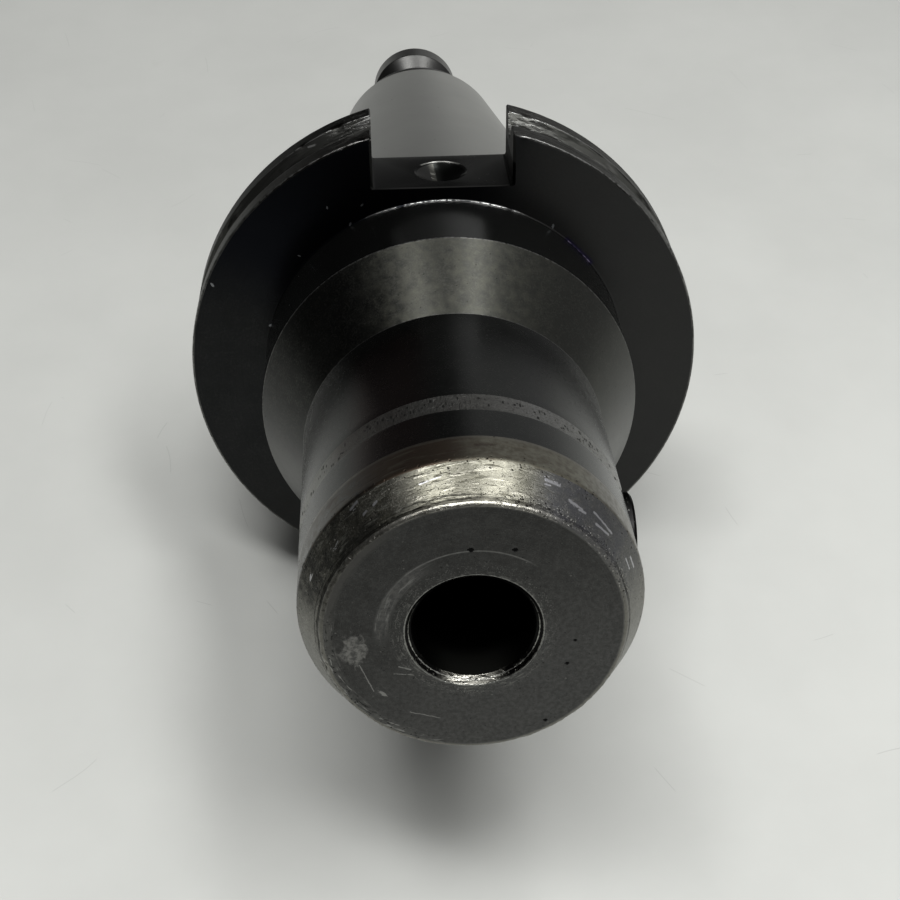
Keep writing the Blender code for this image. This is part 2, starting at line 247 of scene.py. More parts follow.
zero = (0.0, 0.0, 0.0)
effects = {"mottle": makeEffect("mottle", mottleMask, Place=zero, Size=5.0, Contrast=0.5),
           "pits": makeEffect("pits", pitsMask, Place=zero, Cell=1.0, Share=0.3, Size=0.3),
           "grain": makeEffect("grain", grainMask, Place=zero, Size=0.3),
           "streaks": makeEffect("streaks", streaksMask, Angle=0.0, Along=0.0, Width=0.4, Length=4.0),
           "hairlines": makeEffect("hairlines", hairlinesMask, Place=zero, Size=0.03, Share=0.5),
           "lines": makeEffect("turnedLines", linesMask, Along=0.0, Place=zero, Spacing=0.3),
           "edge": makeEffect("edgeWear", edgeMask, Distance=1.0, Place=zero, Width=0.3),
           "scuff": makeEffect("scuff", scuffMask, Place=zero, Middle=zero, Turn=zero, Reach=(1.0, 1.0, 1.0),
                               Grain=3.0, Cover=0.5),
           "stroke": makeEffect("stroke", strokeMask, Place=zero, From=zero, To=(1.0, 0.0, 0.0), Width=0.15),
           "around": makeEffect("around", aroundMask, Place=zero, Towards=(0.0, -1.0, 0.0), Full=20.0,
                                Gone=40.0)}
print("shared effects ready:", ", ".join(effects))


# materials
class Field:
    # a value that changes over a steel, drawn as nodes once in each steel that uses it
    def __init__(self, draw):
        self.draw, self.drawn = draw, {}

    def on(self, steel):
        if steel not in self.drawn:
            self.drawn[steel] = self.draw(steel)
        return self.drawn[steel]

    def reckon(self, operation, *others):
        return Field(lambda steel: calc(steel.tree, operation, self.on(steel),
                                        *(drawn(other, steel) for other in others)))

    def __mul__(self, other):
        return self.reckon("MULTIPLY", other)

    def __add__(self, other):
        return self.reckon("ADD", other)

    def __sub__(self, other):
        return self.reckon("SUBTRACT", other)


def drawn(value, steel):
    return value.on(steel) if isinstance(value, Field) else value


def effect(name, **values):
    return Field(lambda steel: use(steel.tree, effects[name],
                                   **{key: drawn(value, steel) for key, value in values.items()}))


def distance(first, second):
    return (first * first + second * second).reckon("SQRT")


place = Field(lambda steel: steel.place)
across, down, along = [Field(lambda steel, part=part: steel.parts[part]) for part in range(3)]
radius = distance(across, down)
arc = across.reckon("ARCTAN2", down * -1.0) * radius.reckon("MAXIMUM", 0.1)


# masks: 1 where a tone lies, 0 where it doesn't, and two that are multiplied lie where both do
def mottle(size, contrast=0.5):
    return effect("mottle", Place=place, Size=size, Contrast=contrast)


def pits(cell, share, size=0.3):
    return effect("pits", Place=place, Cell=cell, Share=share, Size=size)


def grain(size):
    return effect("grain", Place=place, Size=size)


def streaks(width, length, rows=along):
    return effect("streaks", Angle=arc, Along=rows, Width=width, Length=length)


def lines(rows, spacing):
    return effect("lines", Place=place, Along=rows, Spacing=spacing)


def corner(reach, station, width):
    # rubbed wear round the holder along the corner at this radius and station, and at the neck root a painted
    # highlight
    return effect("edge", Place=place, Distance=distance(radius - reach, along - station), Width=width)


def scuff(middle, reach, turn, grain, cover):
    turned = (0.0, 0.0, math.radians(turn))
    return effect("scuff", Place=place, Middle=middle, Reach=reach, Turn=turned, Grain=grain, Cover=cover)


def stroke(start, end, width):
    return effect("stroke", Place=place, From=start, To=end, Width=width)


def around(degrees, full, gone):
    # 0 is the upper side of the holder, 90 the side of the lock screw
    towards = (math.sin(math.radians(degrees)), -math.cos(math.radians(degrees)), 0.0)
    return effect("around", Place=place, Towards=towards, Full=full, Gone=gone)


def between(value, low, high, soft):
    # 1 between two values, falling to 0 over a soft border
    return Field(lambda steel: times(steel.tree, ramped(steel.tree, value.on(steel), low - soft, low),
                                     ramped(steel.tree, value.on(steel), high + soft, high)))


class Steel:
    # a metal whose pattern lies in the holder's own millimetres
    def __init__(self, name, metallic):
        self.material = bpy.data.materials.new(name)
        self.material.use_nodes = True
        self.tree = self.material.node_tree
        self.shader = self.tree.nodes["Principled BSDF"]
        self.shader.inputs["Metallic"].default_value = metallic
        mapping = add(self.tree, "ShaderNodeMapping", vector_type="TEXTURE")
        self.tree.links.new(add(self.tree, "ShaderNodeTexCoord").outputs["Object"], mapping.inputs["Vector"])
        mapping.inputs["Location"].default_value = lie["noseFace"]
        mapping.inputs["Rotation"].default_value = lieTurn
        mapping.inputs["Scale"].default_value = [lie["millimetre"]] * 3
        self.place = mapping.outputs[0]
        self.parts = add(self.tree, "ShaderNodeSeparateXYZ", self.place).outputs


def finish(name, colour, roughness, layers, metallic=1.0, shine=1.0):
    # Each layer says where it lies, its colour, roughness, strength and how deep it is sunk in millimetres.
    steel = Steel(name, metallic)
    tree, shader, height = steel.tree, steel.shader, None
    colour = (*colour, 1.0)
    shader.inputs["Specular Tint"].default_value = (shine, shine, shine, 1.0)
    for layer in layers:
        where, tone, rough, strength, sunk = layer + (None, 1.0, 0.0)[len(layer) - 2:]
        mask = where.on(steel)
        amount = times(tree, mask, strength) if strength != 1.0 else mask
        colour = mixed(tree, "Color", amount, colour, tone)
        if rough is not None:
            roughness = mixed(tree, "Float", amount, roughness, rough)
        if sunk:
            step = times(tree, mask, -sunk)
            height = step if height is None else calc(tree, "ADD", height, step)
    feed(tree, shader.inputs["Base Color"], colour)
    feed(tree, shader.inputs["Roughness"], roughness)
    if height is not None:
        bump = add(tree, "ShaderNodeBump")
        bump.inputs["Distance"].default_value = lie["millimetre"]
        feed(tree, bump.inputs["Height"], height)
        feed(tree, shader.inputs["Normal"], bump.outputs["Normal"])
    return steel.material


# marks of use that the photograph shows, in the holder's own millimetres
flangeFlecks = [(20.5, 29.1, 0.26), (-15.0, 34.5, 0.20), (-21.4, 34.2, 0.18), (-17.3, 30.8, 0.24),
                (-27.1, 24.7, 0.18), (-33.4, 10.4, 0.26), (-43.8, 19.3, 0.28)]
chamferScuffs = [((-17.5, -20.0, 5.8), (1.6, 0.8, 1.2), 40), ((-20.3, -14.7, 3.2), (0.8, 1.8, 1.4), 25),
                 ((-24.1, -8.8, 4.1), (0.6, 2.0, 1.4), 12), ((11.1, -23.6, 5.0), (1.6, 0.6, 1.0), 25),
                 ((15.0, -20.2, 3.3), (1.7, 0.7, 1.2), 38), ((-4.8, -25.0, 4.3), (1.7, 0.8, 0.7), -8)]
chamferStrokes = [
    ((18.0, -18.2, 4.1), (20.7, -14.6, 3.6), 0.26), ((18.2, -17.0, 2.8), (20.1, -14.8, 3.0), 0.28),
    ((23.0, -10.1, 3.3), (23.6, -8.3, 3.1), 0.22), ((23.9, -9.6, 4.3), (24.5, -7.8, 4.2), 0.26),
    ((10.8, -23.7, 4.9), (12.8, -22.7, 4.9), 0.36), ((10.6, -23.4, 4.3), (11.4, -23.1, 4.3), 0.20),
    ((14.2, -20.9, 3.5), (15.3, -19.9, 3.3), 0.30), ((14.9, -20.3, 3.5), (16.1, -19.3, 3.3), 0.24),
    ((15.6, -19.5, 3.0), (16.6, -18.8, 3.1), 0.26), ((-17.9, -19.5, 5.4), (-16.9, -20.5, 5.8), 0.30),
    ((-14.4, -21.1, 4.0), (-14.0, -21.5, 4.2), 0.30), ((-16.0, -19.7, 3.6), (-15.5, -20.2, 3.8), 0.24),
    ((-7.6, -24.4, 4.0), (-4.6, -25.2, 4.4), 0.22)]
faceStrokes = [((-17.6, 5.6, 0.0), (-15.6, 10.9, 0.0), 0.12), ((-10.1, 15.5, 0.0), (-5.4, 17.0, 0.0), 0.10),
               ((-11.6, 6.3, 0.0), (-9.8, 6.9, 0.0), 0.16), ((-12.4, 7.6, 0.0), (-9.4, 8.0, 0.0), 0.10)]
facePits = [(-0.5, -15.2, 0.85), (6.0, -14.9, 0.75), (14.3, 7.0, 0.6), (11.2, 18.4, 0.6), (15.4, 2.5, 0.5)]
landStrokes = [
    ((13.2, -46.9, 83.0), (14.8, -46.6, 82.8), 0.26), ((13.2, -47.0, 94.2), (18.5, -45.2, 94.2), 0.16),
    ((14.6, -46.6, 92.4), (15.4, -46.2, 92.2), 0.30), ((-13.0, -46.9, 83.0), (-15.8, -46.3, 82.8), 0.26),
    ((-13.1, -46.9, 89.0), (-14.6, -46.4, 88.6), 0.24), ((-23.2, -42.4, 93.4), (-24.6, -41.7, 93.8), 0.30)]


def taperSteel():
    return finish("groundTaper", (0.17, 0.17, 0.165), 0.3, [
        # painted reflection: the right side is painted lighter and the upper left darker
        (around(30, 12, 32), (0.325, 0.325, 0.312), 0.32),
        (around(-32, 10, 26), (0.215, 0.215, 0.21), 0.32),
        (mottle(26.0, 0.6), (0.17, 0.17, 0.165), 0.36, 0.5),
        (lines(along, 0.2), (0.27, 0.27, 0.26), None, 0.4, 0.002),
        (pits(2.6, 0.2, 0.1), (0.08, 0.075, 0.07), 0.55, 0.8, 0.01),
        (corner(20.3, 201.9, 0.35), (0.4, 0.4, 0.38), 0.3)])


def flangeSteel():
    land = between(radius, 48.85, 60.0, 0.1)
    # rear: the upper left of the rear land, where painted shade lies
    rear = between(along, 94.0, 99.0, 0.2) * around(-33, 18, 30)
    return finish("blackenedFlange", (0.034, 0.034, 0.033), 0.34, [
        # painted shade: the left and upper left of the flange face are painted darker, bluish near the top
        (around(-62, 45, 100), (0.0125, 0.0135, 0.0135), 0.26),
        (mottle(9.0, 0.5), (0.026, 0.026, 0.027), 0.36, 0.35),
        (grain(0.5), (0.044, 0.044, 0.043), None, 0.25),
        (lines(radius, 0.3), (0.042, 0.042, 0.043), None, 0.3, 0.002),
        (around(-24, 28, 50), (0.0085, 0.0095, 0.0125), 0.26, 0.85),
        # painted reflection: a bluish glint line along the neck root on the upper right
        (stroke((23.2, -26.2, 82.5), (27.7, -21.5, 82.5), 0.9), (0.02, 0.016, 0.046), 0.3, 0.8),
        (stroke((23.4, -26.0, 82.5), (27.6, -21.6, 82.5), 0.13), (0.26, 0.23, 0.34), 0.3),
        *[(scuff((x, -y, 82.5), (size, size * 2.2, 3.0), x * 9, 1.6, 1.0), (0.26, 0.27, 0.28), 0.34)
          for x, y, size in flangeFlecks],
        # painted highlight: a bright arc along the neck root on the upper side
        (corner(35.1, 82.5, 0.16) * around(0, 20, 27), (0.4, 0.4, 0.39), 0.24),
        (land, (0.07, 0.07, 0.067), 0.3),
        (land * mottle(2.2, 0.35), (0.1, 0.1, 0.095), 0.36, 0.8),
        (land * streaks(0.35, 5.0), (0.15, 0.15, 0.145), 0.32, 0.6, -0.01),
        (land * streaks(0.22, 3.0), (0.018, 0.018, 0.017), 0.4, 0.6, 0.015),
        # painted shade: the lands are painted darker on the upper left, the rear land most
        (land * around(-29, 13, 22), (0.014, 0.012, 0.011), 0.34, 0.9),
        (land * rear, (0.008, 0.008, 0.007), 0.34, 0.9),
        *[(land * around(34, 24, 38) * streaks(width, length), (0.012, 0.012, 0.011), 0.45, 0.8, 0.04)
          for width, length in ((0.4, 7.0), (0.24, 4.0))],
        *[(corner(reach, station, width), (0.3, 0.3, 0.29), 0.3, 0.7) for reach, station, width in
          ((49.1, 82.7, 0.22), (49.15, 86.8, 0.22), (49.15, 94.2, 0.22), (49.1, 98.3, 0.2))],
        (pits(3.1, 0.1, 0.05), (0.2, 0.2, 0.21), 0.35, 0.9),
        *batter(land)], shine=0.5)


def batter(where):
    # the lands beside the upper slot are knocked about and rubbed bare in spots
    beside = between(across.reckon("ABSOLUTE"), 0.0, 17.0, 6.0)
    near = beside * between(down, -60.0, -44.0, 2.0) * where
    return [
        (near * streaks(0.45, 2.4), (0.15, 0.15, 0.145), 0.36, 0.8, -0.03),
        (near * streaks(0.3, 1.6), (0.016, 0.016, 0.015), 0.5, 0.8, 0.04),
        (near * pits(0.55, 0.5, 0.34), (0.22, 0.22, 0.215), 0.38, 0.6, 0.05),
        (near * pits(0.5, 0.4, 0.36), (0.012, 0.012, 0.011), 0.5, 0.8, 0.04),
        *[(stroke(start, end, width), (0.42, 0.42, 0.41), 0.32, 0.8) for start, end, width in landStrokes]]


def grooveSteel():
    return finish("gripperGroove", (0.1, 0.101, 0.092), 0.38, [
        (mottle(5.0, 0.5), (0.07, 0.071, 0.066), 0.44, 0.7),
        (lines(radius, 0.25), (0.14, 0.14, 0.13), None, 0.4, 0.004),
        *[(streaks(width, length), (0.012, 0.012, 0.011), 0.45, 0.85, 0.03)
          for width, length in ((0.3, 4.0), (0.55, 7.0))],
        (streaks(0.22, 3.0), (0.2, 0.2, 0.19), 0.36, 0.6, -0.02),
        # painted shadow: the groove bottom and its upper left side are painted darker
        (between(radius, 40.0, 46.4, 0.6), (0.02, 0.02, 0.019), 0.5, 0.9),
        (around(-32, 15, 27), (0.03, 0.03, 0.028), None, 0.8),
        *batter(between(radius, 46.6, 60.0, 0.5))])


def slotSteel():
    edge = between(along, 82.3, 83.02, 0.06) * between(across, -6.0, 30.0, 10.0)
    rings = down.reckon("ABSOLUTE") - 34.0
    inDimple = between(rings, 0.0, 3.2, 0.1) * between(down, -60.0, -30.0, 1.0)
    slanted = across + (along - 89.6) * 0.19
    # a painted highlight: a narrow slanted streak down the dimple's wall, broken into rungs by the turned
    # lines
    paintedDimpleHighlight = inDimple * between(slanted, -1.15, -0.45, 0.3)
    rungs = lines(along, 0.55).reckon("GREATER_THAN", 0.44)
    fromMiddle = distance(across, along - 90.49)
    rim = between(fromMiddle, 4.85, 5.1, 0.1) * between(along, 94.0, 96.0, 0.4)
    # low: the part of the right slot wall nearest the slot floor, painted near black as shade
    low = between(across, 12.4, 20.0, 0.2) * between(down, -41.6, 0.0, 0.4)
    return finish("milledSlot", (0.044, 0.045, 0.043), 0.26, [
        (mottle(4.0, 0.5), (0.052, 0.052, 0.05), 0.32, 0.3),
        (grain(0.45), (0.07, 0.07, 0.068), None, 0.25),
        (lines(across, 0.3), (0.07, 0.07, 0.068), None, 0.3, 0.002),
        (pits(1.4, 0.16, 0.14), (0.2, 0.2, 0.195), 0.36, 0.7),
        # painted shade: the slot's left half, with its left wall, is painted darker
        (between(across, -30.0, 1.0, 5.0), (0.007, 0.0075, 0.007), 0.24, 0.85),
        (edge, (0.06, 0.06, 0.058), 0.3, 0.8),
        (inDimple, (0.05, 0.05, 0.048), 0.28),
        # painted shade: the right part of the dimple is painted darker
        (inDimple * between(slanted, -0.2, 12.0, 0.5), (0.016, 0.017, 0.016), 0.22),
        # painted highlight in the dimple
        (paintedDimpleHighlight, (0.09, 0.09, 0.08), 0.28, 0.8),
        (paintedDimpleHighlight * rungs, (0.34, 0.34, 0.31), 0.24, 0.8, 0.03),
        (rim * between(down, -60.0, -30.0, 1.0), (0.34, 0.34, 0.32), 0.3, 0.9),
        # painted shade: the right slot wall is painted darker, near black towards the slot floor
        (between(across, 12.4, 20.0, 0.2), (0.016, 0.016, 0.016), 0.4, 0.8),
        (low, (0.0015, 0.0015, 0.0015), 0.5),
        *batter(between(down, -60.0, -46.6, 0.4))], shine=0.68)


def neckSteel():
    return finish("blackenedNeck", (0.032, 0.034, 0.032), 0.27, [
        (mottle(6.0, 0.5), (0.036, 0.038, 0.035), 0.22, 0.6),
        (grain(0.4), (0.06, 0.061, 0.057), 0.26, 0.4),
        # painted shade: a darker stripe on the upper left of the neck
        (around(-27, 9, 22), (0.016, 0.017, 0.016), None, 0.85),
        (lines(along, 0.22), (0.075, 0.076, 0.073), None, 0.35, 0.001),
        (corner(34.9, 66.25, 0.22), (0.16, 0.16, 0.155), 0.3),
        # painted highlight: a bright arc along the neck root on the upper side
        (corner(35.0, 82.5, 0.2) * around(0, 20, 27), (0.24, 0.24, 0.23), 0.26),
        (pits(1.7, 0.14, 0.12), (0.13, 0.13, 0.125), 0.4, 0.7)], metallic=0.94)


def coneSteel():
    # middle: the top of the cone, where a mottled painted sheen lies
    middle = around(2, 20, 40)
    return finish("turnedCone", (0.04, 0.041, 0.037), 0.28, [
        # painted shade: the left of the cone is painted darker; then a mottled painted sheen lies over the
        # top
        (around(-58, 30, 52), (0.006, 0.0065, 0.0065), 0.3),
        (middle * mottle(1.7, 0.3), (0.078, 0.078, 0.062), 0.34, 0.6),
        (mottle(2.6, 0.5), (0.03, 0.031, 0.029), 0.36, 0.4),
        (grain(0.34), (0.09, 0.09, 0.08), 0.34, 0.4),
        (lines(along, 0.2), (0.055, 0.055, 0.05), None, 0.3, 0.002),
        (pits(0.9, 0.45, 0.2), (0.01, 0.01, 0.009), 0.5, 0.6, 0.006),
        (corner(34.9, 66.1, 0.16), (0.13, 0.13, 0.12), 0.3, 0.7),
        (corner(27.0, 52.4, 0.18), (0.1, 0.1, 0.095), 0.32, 0.7)])


def noseSteel():
    redOil = around(-26, 6, 20) * between(along, 13.0, 44.0, 8.0)
    ring = between(along, 5.6, 12.4, 0.35)
    rusty = ring * around(-20, 22, 44) * streaks(0.7, 3.0)
    edge = between(along, 12.1, 12.6, 0.15) * mottle(1.2, 0.6)
    breaks = between(along, 5.7, 6.9, 0.35) * pits(0.75, 0.7, 0.42)
    return finish("noseSteel", (0.042, 0.044, 0.043), 0.24, [
        # painted shade: the top and upper left of the nose are painted darker
        (around(-30, 50, 95), (0.022, 0.0243, 0.0235)),
        (around(-50, 18, 40), (0.0105, 0.012, 0.0114)),
        (mottle(5.0, 0.5), (0.048, 0.05, 0.047), 0.3, 0.5),
        (grain(0.34), (0.085, 0.086, 0.079), 0.34, 0.35),
        (redOil, (0.06, 0.033, 0.031), None, 0.6),
        (lines(along, 0.22), (0.07, 0.071, 0.066), None, 0.3, 0.0015),
        # painted reflection: the right side of the nose is painted lighter
        (around(62, 26, 44), (0.06, 0.062, 0.061), None, 0.5),
        (ring * around(58, 34, 60), (0.185, 0.182, 0.164), 0.32, 0.85),
        (ring * around(18, 15, 34), (0.2, 0.194, 0.154), 0.38, 0.9),
        (ring * around(-18, 8, 22), (0.115, 0.084, 0.062), 0.36, 0.85),
        (ring * mottle(1.1, 0.25), (0.07, 0.055, 0.04), 0.42, 0.6),
        (rusty, (0.05, 0.033, 0.028), 0.45, 0.7, 0.01),
        (ring * around(5, 26, 50) * streaks(0.5, 4.0), (0.2, 0.185, 0.145), 0.36, 0.5),
        (edge, (0.2, 0.19, 0.165), 0.3, 0.8),
        (pits(0.8, 0.4, 0.2) * between(along, 4.0, 12.0, 3.0), (0.01, 0.009, 0.008), 0.5, 0.85, 0.02),
        (breaks, (0.008, 0.007, 0.006), 0.6, 0.9, 0.05),
        (corner(27.0, 52.4, 0.18), (0.1, 0.1, 0.095), 0.32, 0.7)])


def bandSteel():
    return finish("wornBand", (0.175, 0.174, 0.163), 0.36, [
        (mottle(2.5, 0.4), (0.1, 0.098, 0.092), 0.4, 0.6),
        # painted reflection: the right side of the band is painted lighter
        (around(56, 30, 50), (0.32, 0.32, 0.312), None, 0.85),
        (around(-36, 10, 22), (0.085, 0.07, 0.064), None, 0.85),
        # painted reflection: the far left of the band is painted lighter
        (around(-68, 12, 24), (0.28, 0.28, 0.262), None, 0.8),
        (grain(0.25), (0.24, 0.24, 0.225), None, 0.5, 0.01),
        (mottle(0.28, 0.2), (0.05, 0.048, 0.045), None, 0.5, 0.01),
        (streaks(0.8, 0.2) * around(-16, 16, 28), (0.016, 0.015, 0.014), 0.5, 0.85, 0.03),
        (streaks(1.2, 0.3) * around(-14, 14, 26), (0.018, 0.017, 0.016), 0.5, 0.85, 0.03),
        (streaks(0.34, 0.34) * around(22, 30, 48), (0.036, 0.035, 0.033), 0.5, 0.75, 0.03),
        (lines(along, 0.35), (0.16, 0.16, 0.15), None, 0.5, 0.006),
        (pits(0.62, 0.55, 0.24), (0.014, 0.014, 0.013), 0.6, 0.85, 0.03)])


def chamferSteel():
    rubs = around(-3, 17, 28) * streaks(0.34, 2.6)
    lower = between(along, -1.0, 2.2, 1.6)
    left = around(-56, 20, 34)
    ridge = between(along, -0.2, 0.42, 0.14) * mottle(0.9, 0.4)
    wave = Field(lambda steel: noiseFac(steel.tree, steel.place, 0.35, 2.0)) * 0.9
    second = between(along + wave, 1.32, 1.46, 0.1)
    third = between(along - wave, 0.98, 1.1, 0.1)
    torn = around(44, 26, 40) * between(along, -0.3, 1.5, 0.8)
    ditch = between(along, 0.55, 0.85, 0.14)
    rolled = around(-126, 20, 36) * between(along, -0.4, 1.8, 0.7)
    rag = pits(0.55, 0.55, 0.4) * between(along, 5.2, 7.0, 0.5)
    return finish("rubbedChamfer", (0.14, 0.138, 0.122), 0.38, [
        (around(-50, 20, 38), (0.034, 0.033, 0.027), 0.46),
        (around(48, 20, 40), (0.108, 0.109, 0.11), 0.4),
        (around(0, 15, 27), (0.135, 0.131, 0.104), 0.32),
        # painted highlights: two narrow bright bands either side of the top of the chamfer
        (around(-13, 2, 8), (0.2, 0.195, 0.155), 0.28, 0.9),
        (around(9, 3, 9), (0.255, 0.248, 0.2), 0.3, 0.9),
        (mottle(1.3, 0.3), (0.07, 0.068, 0.056), 0.46, 0.35),
        (grain(0.26), (0.33, 0.322, 0.285), 0.34, 0.35, 0.008),
        (rubs, (0.33, 0.32, 0.27), 0.26, 0.85, -0.02),
        (around(-3, 22, 40) * streaks(0.26, 1.8), (0.046, 0.043, 0.031), 0.5, 0.7, 0.02),
        (pits(0.5, 0.62, 0.3) * mottle(1.5, 0.35), (0.012, 0.011, 0.008), 0.6, 0.9, 0.03),
        (pits(0.36, 0.6, 0.32) * lower, (0.014, 0.013, 0.01), 0.6, 0.8, 0.03),
        (left * pits(0.75, 0.55, 0.36), (0.009, 0.009, 0.008), 0.6, 0.9, 0.05),
        (left * mottle(2.2, 0.15), (0.013, 0.013, 0.012), 0.5, 0.7, 0.02),
        (around(-44, 14, 28) * streaks(0.26, 1.4), (0.16, 0.16, 0.14), 0.38, 0.6, -0.02),
        (pits(0.6, 0.4, 0.28) * mottle(3.0, 0.4), (0.34, 0.33, 0.3), 0.34, 0.7, -0.02),
        (ridge, (0.17, 0.165, 0.15), 0.34, 0.8),
        # painted highlight along the top of the worn ridge at the face edge
        (ridge * around(-2, 24, 38), (0.42, 0.41, 0.37), 0.26, 0.9),
        (second * mottle(1.1, 0.6), (0.006, 0.006, 0.005), 0.6, 0.95, 0.06),
        (third * mottle(0.8, 0.6) * around(-66, 62, 78), (0.006, 0.006, 0.005), 0.6, 0.95, 0.06),
        (torn * pits(0.42, 0.75, 0.46), (0.3, 0.292, 0.265), 0.36, 0.8, -0.06),
        (torn * pits(0.55, 0.75, 0.42), (0.008, 0.007, 0.006), 0.6, 0.9, 0.08),
        (ditch * mottle(1.6, 0.7), (0.008, 0.007, 0.006), 0.6, 0.95, 0.05),
        (ditch * mottle(0.9, 0.8) * around(-52, 32, 52), (0.006, 0.006, 0.005), 0.6, 0.9, 0.06),
        *[(scuff(middle, reach, turn, 1.6, 0.9) * streaks(0.24, 0.9), (0.42, 0.42, 0.43), 0.34)
          for middle, reach, turn in chamferScuffs],
        (around(46, 12, 22) * mottle(2.0, 0.5), (0.075, 0.077, 0.096), None, 0.5),
        *[(stroke(start, end, width), (0.46, 0.46, 0.48), 0.3, 0.9)
          for start, end, width in chamferStrokes],
        (rolled * streaks(0.34, 1.3), (0.34, 0.335, 0.31), 0.34, 0.9, -0.06),
        (rolled * pits(0.65, 0.7, 0.42), (0.01, 0.01, 0.009), 0.6, 0.85, 0.08),
        (rag, (0.01, 0.009, 0.008), 0.6, 0.9, 0.05)])


def faceSteel():
    ringLine = between(radius, 14.9, 15.05, 0.09) * around(-18, 42, 60)
    lobe = between(radius, 13.4, 14.9, 0.6) * around(-62, 16, 40)
    halo = between(radius, 10.4, 12.0, 1.4) * pits(0.3, 0.9, 0.46)
    nearBore = between(radius, 10.5, 11.9, 1.3) * around(-150, 80, 130)
    burr = between(radius, 10.4, 11.6, 0.8) * around(-175, 26, 50)
    lip = between(radius, 22.75, 23.6, 0.18) * mottle(1.1, 0.5)
    soft = between(radius, 22.2, 23.6, 1.0) * around(-66, 22, 42)
    worn = between(radius, 22.0, 24.0, 1.0) * around(-122, 30, 52)
    patch = scuff((-18.4, 2.6, 0.0), (3.6, 5.8, 3.0), -8, 2.9, 0.74)
    return finish("facedFront", (0.074, 0.074, 0.073), 0.46, [
        # painted shade: the upper left of the face is painted darker
        (around(-30, 60, 140), (0.028, 0.028, 0.027)),
        (mottle(4.5, 0.5), (0.066, 0.066, 0.063), 0.5, 0.5),
        (grain(0.22), (0.13, 0.13, 0.125), 0.42, 0.45, 0.006),
        (mottle(3.4, 0.25), (0.105, 0.105, 0.101), 0.42, 0.25),
        (mottle(0.7, 0.22), (0.028, 0.028, 0.027), 0.5, 0.45),
        (pits(1.3, 0.3, 0.16), (0.17, 0.17, 0.16), 0.4, 0.7),
        (lines(radius, 0.24), (0.105, 0.105, 0.1), None, 0.35, 0.003),
        (pits(0.55, 0.5, 0.24), (0.014, 0.014, 0.013), 0.6, 0.6, 0.02),
        (ringLine * mottle(1.5, 0.7), (0.24, 0.24, 0.23), 0.34, 0.9),
        (lobe, (0.09, 0.09, 0.088), 0.42, 0.6),
        (lobe * mottle(0.7, 0.15), (0.15, 0.148, 0.14), 0.4, 0.5),
        (lobe * streaks(0.22, 1.7, radius), (0.2, 0.2, 0.19), 0.36, 0.7),
        (halo, (0.19, 0.19, 0.18), 0.4, 0.5),
        (nearBore * streaks(0.26, 0.8, radius), (0.15, 0.15, 0.14), 0.4, 0.8),
        (between(radius, 10.5, 11.0, 0.5) * streaks(0.22, 0.9, radius), (0.15, 0.15, 0.14), 0.38, 0.6),
        (between(radius, 10.5, 13.4, 1.5) * pits(0.8, 0.45, 0.3), (0.02, 0.02, 0.02), 0.6, 0.6, 0.02),
        (burr * pits(0.5, 0.55, 0.4), (0.2, 0.2, 0.185), 0.36, 0.85, -0.03),
        (corner(10.6, 0.0, 0.2), (0.28, 0.28, 0.265), 0.32, 0.85),
        (lip, (0.16, 0.16, 0.15), 0.34, 0.8),
        (soft, (0.092, 0.09, 0.084), None, 0.7),
        (worn * mottle(1.3, 0.3), (0.12, 0.12, 0.114), 0.4, 0.8),
        (worn * streaks(0.34, 1.5, radius), (0.27, 0.27, 0.255), 0.36, 0.9, -0.04),
        (worn * streaks(0.26, 1.1, radius), (0.01, 0.01, 0.009), 0.6, 0.8, 0.06),
        (worn * pits(0.55, 0.7, 0.42), (0.012, 0.012, 0.011), 0.6, 0.8, 0.06),
        (patch, (0.085, 0.085, 0.082), 0.42),
        (patch * mottle(0.75, 0.2), (0.215, 0.212, 0.2), 0.38, 0.85),
        (scuff((-14.2, 11.5, 0.0), (0.5, 1.5, 2.0), -50, 3.0, 0.8), (0.22, 0.22, 0.21), 0.36),
        *[(stroke(start, end, width), (0.24, 0.24, 0.23), 0.36, 0.85) for start, end, width in faceStrokes],
        *[(scuff((x, y, 0.0), (size, size * 0.8, 1.0), 20, 1.6, 0.85), (0.006, 0.006, 0.006), 0.6, 1.0, 0.04)
          for x, y, size in facePits]])


def boreSteel():
    # painted light on the lower wall just inside the bore
    paintedBoreLight = between(along, 1.5, 5.0, 4.0) * around(180, 20, 60)
    mouth = between(along, -1.0, 1.15, 0.1)
    # bottom: the lower lip of the bore mouth, where a painted highlight lies
    bottom = mouth * around(-178, 12, 34)
    torn = mouth * around(-178, 48, 70) * streaks(0.16, 0.9)
    chips = mouth * around(-178, 50, 72) * pits(0.45, 0.6, 0.42)
    innerRing = corner(10.0, 0.62, 0.13) * around(180, 118, 128)
    return finish("boreWall", (0.016, 0.016, 0.016), 0.34, [
        (paintedBoreLight, (0.06, 0.062, 0.055), 0.4),
        (lines(along, 0.3), (0.03, 0.03, 0.028), None, 0.4, 0.003),
        (mouth, (0.006, 0.006, 0.006), 0.3),
        # painted highlight along the lower lip of the bore, broken by rubbed lines and mottle
        (bottom, (0.2, 0.195, 0.172), 0.28),
        (bottom * streaks(0.2, 1.3), (0.62, 0.61, 0.55), 0.24, 0.9, -0.03),
        (bottom * mottle(0.45, 0.15), (0.46, 0.45, 0.4), 0.28, 0.6),
        (torn, (0.01, 0.01, 0.008), 0.5, 0.95, 0.08),
        (chips * mottle(1.2, 0.6), (0.22, 0.215, 0.19), 0.3, 0.8, -0.04),
        (innerRing, (0.4, 0.4, 0.37), 0.28, 0.9),
        (corner(10.55, 0.05, 0.13), (0.22, 0.22, 0.2), 0.3, 0.8)])


